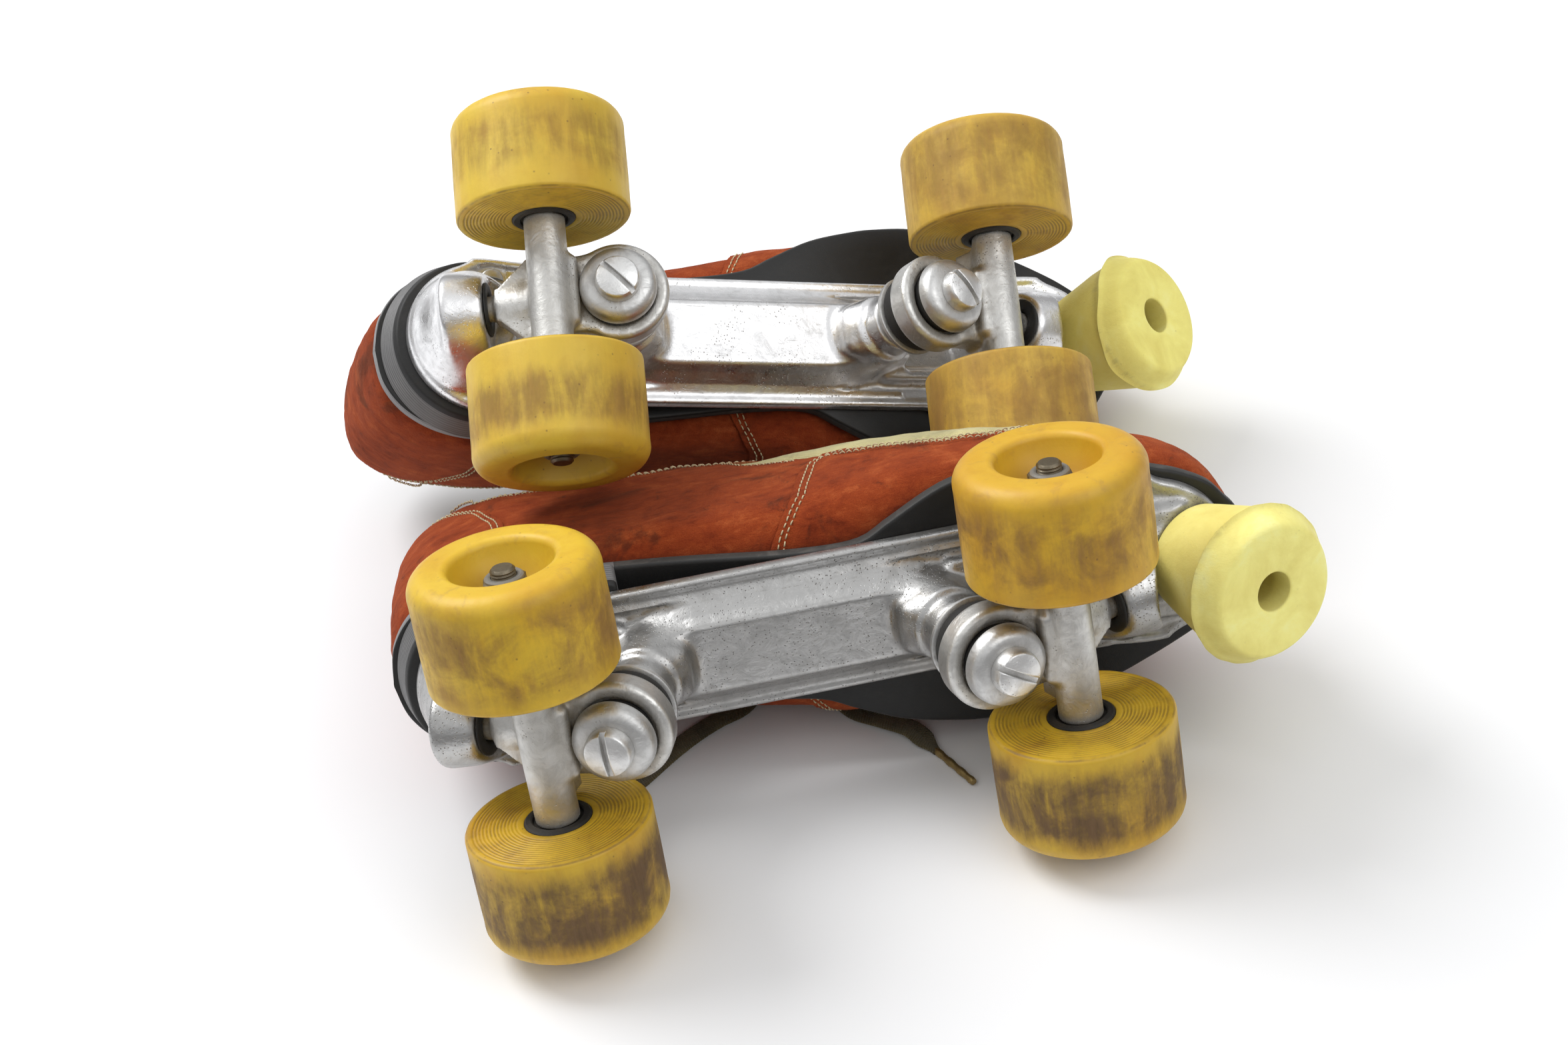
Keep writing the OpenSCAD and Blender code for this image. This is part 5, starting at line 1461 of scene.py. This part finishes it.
    prof = [(6.5, -22.0), (6.5, -0.9), (6.8, -0.25), (7.5, 0.0), (12, 0.0), (17, 0.0), (20.6, 0.0), (21.6, -0.3), (22.6, -1.6), (23.8, -3.9), (24.8, -6.2), (25.6, -7.7), (26.3, -8.4), (26.75, -8.95),
            (26.5, -9.35), (25.5, -9.75), (24.7, -10.6), (24.2, -12.4), (23.2, -18.0), (21.3, -26.0), (19.4, -34.0), (18.2, -38.8), (17.7, -39.7), (16.9, -40.0), (4.15, -40.0), (4.15, -22.0)]
    cv, cf = lathe(prof, 192, closed=True, wobble=wob)
    piece(side + "_toe_stop_block", side, move(cv, R_STOP, STOP_POS), orient_out(cv, cf), [M_STOP[side]], body, "toe_stop", [side + "_toe_stop"], loc=cv, sharp=55)
    bolt = [(0, -20.2)]
    seg = 72
    ang = np.linspace(0, 2 * math.pi, seg, endpoint=False)
    hexr = 3.45 * math.cos(math.pi / 6) / np.cos((ang) % (math.pi / 3) - math.pi / 6)
    rows = [(hexr, -20.2), (hexr, -17.2), (hexr + 0.25, -17.0), (np.full(seg, 5.7), -17.0), (np.full(seg, 6.2), -17.5), (np.full(seg, 6.2), -21.9), (np.full(seg, 4.0), -22.0), (np.full(seg, 4.0), -47.0), (np.full(seg, 3.5), -47.5)]
    BV, BF = [(0, 0, -20.2)], []
    for rr, t in rows:
        BV += [(a * math.cos(g), a * math.sin(g), t) for a, g in zip(rr, ang)]
    for k in range(seg):
        BF.append((0, 1 + k, 1 + (k + 1) % seg))
    for i in range(len(rows) - 1):
        for k in range(seg):
            a, b = 1 + i * seg + k, 1 + i * seg + (k + 1) % seg
            BF.append((a, a + seg, b + seg, b))
    BV.append((0, 0, -47.5))
    for k in range(seg):
        a, b = 1 + (len(rows) - 1) * seg + k, 1 + (len(rows) - 1) * seg + (k + 1) % seg
        BF.append((a, len(BV) - 1, b))
    BV = np.array(BV)
    piece(side + "_toe_stop_hex_bolt", side, move(BV, R_STOP, STOP_POS), orient_out(BV, BF), [M_SCREW], body, "toe_stop_bolt", [side + "_toe_stop_bolt"], loc=BV, sharp=35)


# ------------------------------------------------------------------ boot
def heel_x(z):
    return np.interp(z, [60, 80, 104, 123, 137, 142, 150, 175], [-84, -85.5, -88.4, -95.2, -106.6, -114, -140, -160])


def wrinkles(side):
    k = 0 if side == "left" else 50

    def f(V):
        w = 0.55 * noise3(V, 34, 1 + k) + 0.22 * noise3(V, 11, 2 + k)
        # soft creases across the instep and behind the ankle
        a = np.exp(-((V[:, 0] - 42 - 0.3 * (V[:, 2] - 90)) / 16) ** 2) * np.sin((V[:, 0] + 0.35 * V[:, 2]) / 3.6)
        b = np.exp(-((V[:, 0] + 62 + 0.4 * (V[:, 2] - 110)) / 22) ** 2) * np.sin((V[:, 0] * 0.5 + V[:, 2]) / 4.2)
        w = w + 0.22 * a + 0.25 * b
        bot = zbot(V[:, 0])
        return w * smooth01((V[:, 2] - bot - 2) / 10)
    return f


def facing_d(P):
    return np.where(P[:, 2] > 92, poly_sd(P[:, 0], P[:, 1], FACING), 30.0)


def build_boot(side):
    body = side + "_skate"
    pressed = side == "right"
    wr = wrinkles(side)
    sx = lambda P: seam_x(P[:, 2], P[:, 1])

    def panel(name, keep, out, inn, mats, slot_name, nodes, round_rim=0.5):
        S = Skin(keep)
        o = out(S.V) if callable(out) else out
        q = inn(S.V) if callable(inn) else inn
        V, F, I = S.solid(o, q, round_rim, wr, pressed, 2.2 + float(np.mean(o)))
        return piece(name, side, V, F, mats, body, slot_name, nodes, loc=V, mat_index=I, sharp=60)

    suede_m = [M_SUEDE[side], M_RAW, M_SUEDE[side]]
    node = [side + "_boot_suede"]
    panel(side + "_suede_quarters", [lambda P: sx(P) + 7 - P[:, 0], lambda P: quarter_top_z(P[:, 0]) - P[:, 2], opening_sd], 0.0, 2.3, suede_m, "boot_suede", node)

    def vamp_out(V):
        d = V[:, 0] - sx(V)
        return -1.25 + 1.0 * smooth01((d - 9) / 16)

    panel(side + "_suede_vamp", [lambda P: P[:, 0] - sx(P), lambda P: front_top_z(P[:, 0]) - P[:, 2], opening_sd], vamp_out, lambda V: vamp_out(V) + 1.9, suede_m, "boot_suede", node)
    panel(side + "_suede_facing", [lambda P: -facing_d(P), opening_sd], -0.35, 1.5, suede_m, "boot_suede", node)
    panel(side + "_suede_heel_counter", [lambda P: heel_x(P[:, 2]) - P[:, 0], opening_sd], -1.15, 0.3, suede_m, "boot_suede", node)

    def canvas_out(V):
        d = np.minimum(np.minimum(V[:, 2] - front_top_z(V[:, 0]), V[:, 2] - quarter_top_z(V[:, 0])), facing_d(V))
        return 2.5 - 3.1 * smooth01((d + 0.5) / 6)

    S = Skin([lambda P: opening_sd(P) + 1.2])
    o = canvas_out(S.V)
    V, F, I = S.solid(o, 5.0, 0.6, wr, pressed, 4.7)
    piece(side + "_canvas_body", side, V, F, [M_CANVAS, M_LINING, M_LINING], body, "boot_canvas", [side + "_boot_canvas"], loc=V, mat_index=I, sharp=60)

    # seams: rows of thread set into the suede
    parts = []

    def stitch_side(pts, sy, d0, off=0.0, seed=0):
        """pts are (x, z) down the side; d0 how proud the panel is there."""
        P, N = [], []
        q = np.array(pts, float)
        L = np.concatenate([[0], np.cumsum(np.linalg.norm(np.diff(q, axis=0), axis=1))])
        for s in np.arange(0, L[-1], 0.8):
            x, z = np.interp(s, L, q[:, 0]), np.interp(s, L, q[:, 1])
            p, n = form_at_z(x, z, sy)
            w = wr(np.array([p]))[0]
            p = p + n * (w + d0)
            if pressed:
                p = press(np.array([p]), 2.2 - d0)[0]
            P.append(p)
            N.append(n)
        return stitch_row(P, N, 1.75, 0.75, 0.25, 0.2, seed)

    for sy in (-1, 1):
        base = [(seam_x(z, 0), z) for z in np.linspace(57.5, 99, 20)]
        for k, off in enumerate((2.6, 5.0)):
            line = [(x + off, z) for x, z in base if z < 97 - off * 0.4] + [(x, front_top_z(x) - off) for x in np.arange(24 + off, 104, 3)]
            parts += stitch_side(line, sy, 1.25, seed=10 + k + 7 * sy)
        hz = np.linspace(60, 141, 24)
        for k, off in enumerate((2.2, 4.2)):
            parts += stitch_side([(float(heel_x(z)) - off, z) for z in hz if heel_x(z) - off > -119], sy, 1.15, seed=30 + k + 7 * sy)
        parts += stitch_side([(x, float(quarter_top_z(x)) - 3.0) for x in np.arange(-11, 17, 2)], sy, 0.0, seed=50 + 7 * sy)
    # collar and facing rows follow the opening's edge
    for sy in (-1, 1):
        for off, seed in ((3.2, 31), (5.2, 32)):
            P, N = [], []
            for x, y in [(a, b) for a, b in OPEN if b > 5 and a < 70]:
                P.append((x, sy * (y + off)))
            q = np.array(P)
            L = np.concatenate([[0], np.cumsum(np.linalg.norm(np.diff(q, axis=0), axis=1))])
            pts, nn = [], []
            for s in np.arange(0, L[-1], 0.8):
                x, y = np.interp(s, L, q[:, 0]), np.interp(s, L, q[:, 1])
                if x < 0:
                    edge = form_at_y(x, y - sy * off)[0]
                    p, n = form_at_z(x, edge[2] - off, sy)
                else:
                    p, n = form_at_y(x, y)
                w = wr(np.array([p]))[0]
                d0 = 0.35 if x > -30 else (1.15 if x < -100 else 0.0)
                p = p + n * (w + d0)
                if pressed:
                    p = press(np.array([p]), 2.2 - d0)[0]
                pts.append(p)
                nn.append(n)
            parts += stitch_row(pts, nn, 1.75, 0.75, 0.25, 0.2, seed)
    V, F, I = join(parts)
    piece(side + "_boot_stitching", side, V, F, [M_THREAD], body, "boot_suede", [], loc=V)

    # tongue
    tong = Skin([lambda P: np.where(P[:, 2] > 92, -poly_sd(P[:, 0], P[:, 1], TONGUE_POLY), -30.0)])
    V, F, I = tong.solid(-0.3, 3.3, 1.0, lambda V: 0.35 * noise3(V, 18, 9) - 0.2 * smooth01((np.abs(V[:, 1]) - 9) / 6), pressed, 1.9)
    piece(side + "_boot_tongue", side, V, F, [M_TONGUE, M_RAW, M_LINING], body, "tongue", [side + "_tongue"], loc=V, mat_index=I, sharp=60)

    # laced part: flat bars across the tongue whose ends dip into the facing, where the real lace goes down through
    # punched holes
    parts, holes = [], []
    for i, x in enumerate((24, 38, 52, 66)):
        h = 11.5 if x > 60 else 16.5
        n = 25
        ys = np.linspace(-h, h, n)
        rows = []
        for k, y in enumerate(ys):
            e = smooth01((abs(y) - (h - 3.2)) / 3.2)
            wv = 3.9 - 1.7 * e
            p, nn = form_at_y(x + 0.5 * math.sin(y * 0.2 + i), y, 0.0)
            lift = 1.55 - 2.3 * e
            c = p + nn * lift
            if pressed:
                c = press(np.array([c]), 0.65 + 1.6 * e)[0]
            t = np.array([1.0, 0, 0])
            t = t - nn * (t @ nn)
            t /= np.linalg.norm(t)
            for a in range(10):
                g = 2 * math.pi * a / 10
                cx, cz = math.cos(g), math.sin(g)
                rows.append(c + t * wv * np.sign(cx) * abs(cx) ** 0.7 + nn * 0.55 * np.sign(cz) * abs(cz) ** 0.8)
        W = np.array(rows)
        G = []
        for k in range(n - 1):
            for a in range(10):
                u, v = k * 10 + a, k * 10 + (a + 1) % 10
                G.append((u, u + 10, v + 10, v))
        G += [tuple(range(10)), tuple(reversed(range((n - 1) * 10, n * 10)))]
        parts.append((W, orient_out(W, G), 0))
    V, F, I = join(parts)
    loc = V[:, [0, 1, 2]].copy()
    loc[:, 0] = (V[:, 0] % 14.0) - 10
    piece(side + "_lace_bars", side, V, F, [M_LACE], body, "lace", [side + "_lacing"], loc=loc)

    # insole board
    xs = -126 + 274 * (1 - np.cos(np.linspace(0.12, math.pi - 0.1, 70))) / 2
    rows = []
    for x in xs:
        z0 = float(zbot(x))
        yl = max(1.0, form_at_z(x, z0 + 9.0, 1, 5.7)[0][1])
        ym = min(-1.0, form_at_z(x, z0 + 9.0, -1, 5.7)[0][1])
        rows.append([(x, a, b) for a, b in [(ym, z0 + 5.6), (ym - 0.0, z0 + 8.4), (ym + 0.6, z0 + 8.9)] + [(ym + (yl - ym) * k / 12, z0 + 9.0 + 0.25 * math.sin(math.pi * k / 12)) for k in range(1, 12)] + [(yl - 0.6, z0 + 8.9), (yl, z0 + 8.4), (yl, z0 + 5.6)]])
    W = np.array(rows)
    m = W.shape[1]
    V = W.reshape(-1, 3)
    F = [(i * m + k, i * m + (k + 1) % m, (i + 1) * m + (k + 1) % m, (i + 1) * m + k) for i in range(len(xs) - 1) for k in range(m)]
    F += [tuple(range(m)), tuple(reversed(range((len(xs) - 1) * m, len(xs) * m)))]
    if pressed:
        V = press(V, 7.5)
    piece(side + "_insole_board", side, V, orient_out(V, F), [M_INSOLE], body, "insole", [side + "_insole"], loc=V, sharp=40)

    # sole: a section swept from heel to toe, its lower edge rounded
    SP = np.array([[-129.5, 0], [-127, 12], [-119, 22], [-105, 28.5], [-85, 30], [-55, 29.5], [-20, 29], [5, 31], [17, 36], [33, 43], [50, 47.2], [60, 48.7],
                   [75, 49.4], [90, 46.5], [107, 41.6], [116, 38.2], [126, 34], [136, 29], [145, 22.5], [151, 13], [153.5, 2]], float)
    SM = np.array([[-129.5, 0], [-127, -12], [-119, -22], [-105, -28.5], [-85, -30], [-55, -27.5], [-20, -25], [5, -23.5], [26, -24], [37, -29.2], [50, -35.8], [60, -39.4],
                   [75, -41.5], [90, -41], [110, -36.5], [126, -30.6], [134, -27.4], [143, -22], [148, -16], [152.5, -9], [153.5, 2]], float)
    DP, DM = spline(SP, 12), spline(SM, 12)
    for D in (DP, DM):
        k = 1 + 0.085 * smooth01((-62 - D[:, 0]) / 25)
        D[:, 1] *= k
        D[:, 0] = np.where(D[:, 0] < -97, -97 + (D[:, 0] + 97) * 1.08, D[:, 0])
    th = np.linspace(0.035, math.pi - 0.03, 150)
    xs = 10.7 - 142.8 * np.cos(th)
    rows, fi = [], []
    for x in xs:
        yl, ym = np.interp(x, DP[:, 0], DP[:, 1]), np.interp(x, DM[:, 0], DM[:, 1])
        zt, zb = float(zbot(x)) - 0.1, float(zbot(x)) - 5.0
        half = (yl - ym) / 2
        r = min(1.5, half * 0.5)
        sec = [(ym + r, zb), (ym + r * 0.45, zb + 0.18), (ym + r * 0.12, zb + 0.6), (ym, zb + r), (ym + 0.02, zt - 1.0), (ym + 0.15, zt - 0.35), (ym + 0.6, zt)]
        sec += [(ym + (yl - ym) * k / 10, zt) for k in range(1, 10)]
        sec += [(yl - 0.6, zt), (yl - 0.15, zt - 0.35), (yl - 0.02, zt - 1.0), (yl, zb + r), (yl - r * 0.12, zb + 0.6), (yl - r * 0.45, zb + 0.18), (yl - r, zb)]
        sec += [(yl + (ym - yl) * k / 10, zb) for k in range(1, 10)]
        rows.append([(x, a, b) for a, b in sec])
    W = np.array(rows)
    m = W.shape[1]
    V = W.reshape(-1, 3)
    F, I = [], []
    for i in range(len(xs) - 1):
        for k in range(m):
            F.append((i * m + k, i * m + (k + 1) % m, (i + 1) * m + (k + 1) % m, (i + 1) * m + k))
            I.append((2 if xs[i] < -54 else 1) if k in (2, 3, 4, 5, 17, 18, 19, 20) else 0)
    F += [tuple(range(m)), tuple(reversed(range((len(xs) - 1) * m, len(xs) * m)))]
    I += [2, 1]
    F = orient_out(V, F)
    piece(side + "_sole_layer", side, V, F, [M_SOLE, M_SOLE_EDGE, M_HEEL], body, "sole", [side + "_sole"], loc=V, mat_index=I, sharp=40)

    # stacked heel: layers with fine grooves between them
    def outline(z, inset=0.0):
        k = (z - 50.1) / 11.7
        r, hw = 29.6 + 3.6 * k - inset, 26.5 + 2.5 * k - inset
        pts = [(-97 + r * math.cos(a), r * math.sin(a)) for a in np.linspace(math.radians(78), math.radians(282), 60)]
        low = [(-72 + 17.5 * t - inset * 0, -(r * 0.985 + (hw - r * 0.985) * t) ) for t in np.linspace(0.1, 1, 8)]
        front = [(-53.6 - inset, -hw * 0.985 + 0.0), (-53.0 - inset, -hw * 0.95)] + [(-53.0 - inset, hw * (-0.95 + 1.9 * t)) for t in np.linspace(0.1, 1, 10)] + [(-53.6 - inset, hw * 0.985)]
        high = [(x, -y) for x, y in reversed(low)]
        return pts + low + front + high
    levels, z = [(50.12, 0.7), (50.3, 0.25), (50.7, 0.0)], 50.7
    for zc in (53.0, 54.1, 55.2, 56.3, 57.4, 58.5, 59.6, 60.7):
        levels += [(zc - 0.22, 0.0), (zc, 0.26), (zc + 0.22, 0.0)]
    levels += [(61.5, 0.0), (61.75, 0.3)]
    rows = [[(x, y, zz) for x, y in outline(zz, i)] for zz, i in levels]
    W = np.array(rows)
    m = W.shape[1]
    V = W.reshape(-1, 3)
    F = [(i * m + k, i * m + (k + 1) % m, (i + 1) * m + (k + 1) % m, (i + 1) * m + k) for i in range(len(levels) - 1) for k in range(m)]
    F += [tuple(reversed(range(m))), tuple(range((len(levels) - 1) * m, len(levels) * m))]
    # the layer next to the plate is black rubber
    I = [1 if k // m < 3 else 0 for k in range((len(levels) - 1) * m)] + [1, 0]
    piece(side + "_heel_stack", side, V, orient_out(V, F), [M_HEEL, M_PIVOT], body, "heel", [side + "_heel"], loc=V, mat_index=I, sharp=40)


# ------------------------------------------------------------------ free ends of the left lace
FRONT_ROUTE = [[24, 141, 22], [25.5, 147, 14], [31, 154, 6], [40, 159, 1.6], [51, 157, 1], [57, 147, 1], [54, 134, 1], [44, 122, 1], [32, 112, 1], [21.5, 101, 1],
               [15.5, 89, 1], [14, 76, 1], [18, 64, 1.2], [27, 55, 2.2], [35, 47.5, 2.6], [39.5, 39.5, 1.6], [41.5, 35, 1.4]]
FRONT_FACE = [[0, 1, 0.3], [0.1, 1, 0.5], [0.2, 0.7, 0.8], [0.1, 0.2, 1]] + [[0, 0, 1]] * 13
REAR_ROUTE = [[24, 149, 50], [21, 153, 41], [17, 156, 30], [11.5, 158, 19], [4, 159, 9.5], [-5, 156, 3], [-13.5, 149, 1], [-18, 138, 1], [-18, 125, 1], [-15.5, 111, 1],
              [-13.5, 98, 1], [-14.5, 86, 1], [-20, 77, 1.2], [-29, 72.5, 1.6], [-38, 67.5, 1.4], [-47, 61, 1.1], [-57, 52, 1.1], [-66, 44, 1.2]]
REAR_FACE = [[0, 1, -0.3], [0, 1, -0.1], [0, 1, 0.1], [0, 1, 0.3], [0, 0.7, 0.7], [0, 0.3, 1]] + [[0, 0, 1]] * 12


def lace_mesh(route, face, m=14, w=8.0, t=1.35):
    P = spline(route, m)
    Fc = spline(face, m)
    n = len(P)
    T = np.gradient(P, axis=0)
    T /= np.linalg.norm(T, axis=1, keepdims=True)
    Wd = np.cross(T, Fc)
    Wd /= np.linalg.norm(Wd, axis=1, keepdims=True)
    U = np.cross(Wd, T)
    sg = np.sign((U * Fc).sum(1))
    U *= sg[:, None]
    s = np.concatenate([[0], np.cumsum(np.linalg.norm(np.diff(P, axis=0), axis=1))])
    K = 16
    V, loc = [], []
    for i in range(n):
        # drawn in a little before the crimped tip
        e = smooth01((s[-1] - s[i]) / 9.0)
        hw = w / 2 * (0.36 + 0.64 * e)
        ht = t / 2 * (1.5 - 0.5 * e)
        for k in range(K):
            g = 2 * math.pi * k / K
            c, q = math.cos(g), math.sin(g)
            a = np.sign(c) * abs(c) ** 0.75
            b = np.sign(q) * abs(q) ** 0.6
            lift = 0.10 * math.sin(s[i] * 2.1 + 2.5 * a) * (abs(a) < 0.9)
            V.append(P[i] + Wd[i] * hw * a + U[i] * (ht * b + lift * 0.4 * (b > 0)))
            loc.append((a * w / 2, s[i], b * t))
    F = [(i * K + k, i * K + (k + 1) % K, (i + 1) * K + (k + 1) % K, (i + 1) * K + k) for i in range(n - 1) for k in range(K)]
    F += [tuple(reversed(range(K))), tuple((n - 1) * K + k for k in range(K))]
    V = np.array(V)
    return V, orient_out(V, F), np.array(loc), P, s[-1]


def build_laces():
    tips = {"front": ((41.8, 34.6, 1.5), (50.4, 16.8, 1.5)), "rear": ((-66.3, 43.7, 1.5), (-80, 32.5, 1.5))}
    for end, route, face in (("front", FRONT_ROUTE, FRONT_FACE), ("rear", REAR_ROUTE, REAR_FACE)):
        V, F, loc, P, L = lace_mesh(route, face)
        V = (V + ORIGIN) / 1000.0
        ob = mesh_object(f"left_lace_{end}_webbing", V, F, [M_LACE], loc=loc, sharp=70)
        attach(ob, "left_skate")
        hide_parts(f"left_lace_{end}_end")
        a, b = (np.array(q, float) for q in tips[end])
        d = (b - a) / np.linalg.norm(b - a)
        n = 14
        pts = [a - d * 1.5 + (b - a + d * 1.5) * i / n for i in range(n + 1)]
        rad = [1.15 + (0.22 if i % 4 in (1, 2) else 0.0) - (0.25 if i in (0, n) else 0) for i in range(n + 1)]
        T, G = tube(pts, rad, 14)
        tip = mesh_object(f"left_lace_{end}_aglet", (T + ORIGIN) / 1000.0, orient_out(T, G), [M_AGLET], loc=T, sharp=60)
        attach(tip, "left_skate")
        if end == "rear":
            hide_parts("left_lace_aglets")


for s in ("left", "right"):
    build_running_gear(s)
    build_boot(s)
build_laces()


# ------------------------------------------------------------------ floor and light
def build_stage():
    me = bpy.data.meshes.new("floor")
    me.from_pydata([(-2.0, -0.36, 0), (2.0, -0.36, 0), (2.0, 2.4, 0), (-2.0, 2.4, 0)], [], [(0, 1, 2, 3)])
    ob = bpy.data.objects.new("floor", me)
    bpy.context.scene.collection.objects.link(ob)
    m = bpy.data.materials.new("floor_paper")
    m.use_nodes = True
    b = m.node_tree.nodes["Principled BSDF"]
    b.inputs["Base Color"].default_value = (0.872, 0.875, 0.885, 1)
    b.inputs["Roughness"].default_value = 0.9
    b.inputs["Specular IOR Level"].default_value = 0.1
    me.materials.append(m)
    w = bpy.data.worlds.new("studio")
    bpy.context.scene.world = w
    w.use_nodes = True
    t = w.node_tree
    t.nodes.clear()
    out = t.nodes.new("ShaderNodeOutputWorld")
    bg = t.nodes.new("ShaderNodeBackground")
    tc = t.nodes.new("ShaderNodeTexCoord")
    sp = t.nodes.new("ShaderNodeSeparateXYZ")
    t.links.new(tc.outputs["Generated"], sp.inputs[0])
    r = t.nodes.new("ShaderNodeValToRGB")
    r.color_ramp.elements[0].position, r.color_ramp.elements[0].color = 0.0, (0.20, 0.19, 0.185, 1)
    r.color_ramp.elements[1].position, r.color_ramp.elements[1].color = 0.62, (0.985, 0.99, 1.0, 1)
    e = r.color_ramp.elements.new(0.22)
    e.color = (0.41, 0.41, 0.415, 1)
    t.links.new(sp.outputs["Z"], r.inputs[0])
    t.links.new(r.outputs[0], bg.inputs[0])
    bg.inputs[1].default_value = WORLD
    t.links.new(bg.outputs[0], out.inputs[0])

    def area(name, pos, aim, size, power, col=(1, 1, 1)):
        L = bpy.data.lights.new(name, "AREA")
        L.shape, L.size, L.energy, L.color = "DISK", size, power, col
        o = bpy.data.objects.new(name, L)
        bpy.context.scene.collection.objects.link(o)
        o.location = pos
        o.rotation_euler = (Vector(aim) - Vector(pos)).to_track_quat("-Z", "Y").to_euler()
        return o

    area("key", (-0.9, 0.75, 1.5), (0, 0, 0), 1.1, KEY, (1.0, 1.0, 1.0))
    area("fill", (0.9, -0.9, 1.3), (0, 0, 0.03), 1.2, FILL)
    sc = bpy.context.scene
    sc.view_settings.view_transform = "Standard"
    sc.view_settings.look = "None"


WORLD, KEY, FILL = 0.85, 22.0, 6.0
build_stage()
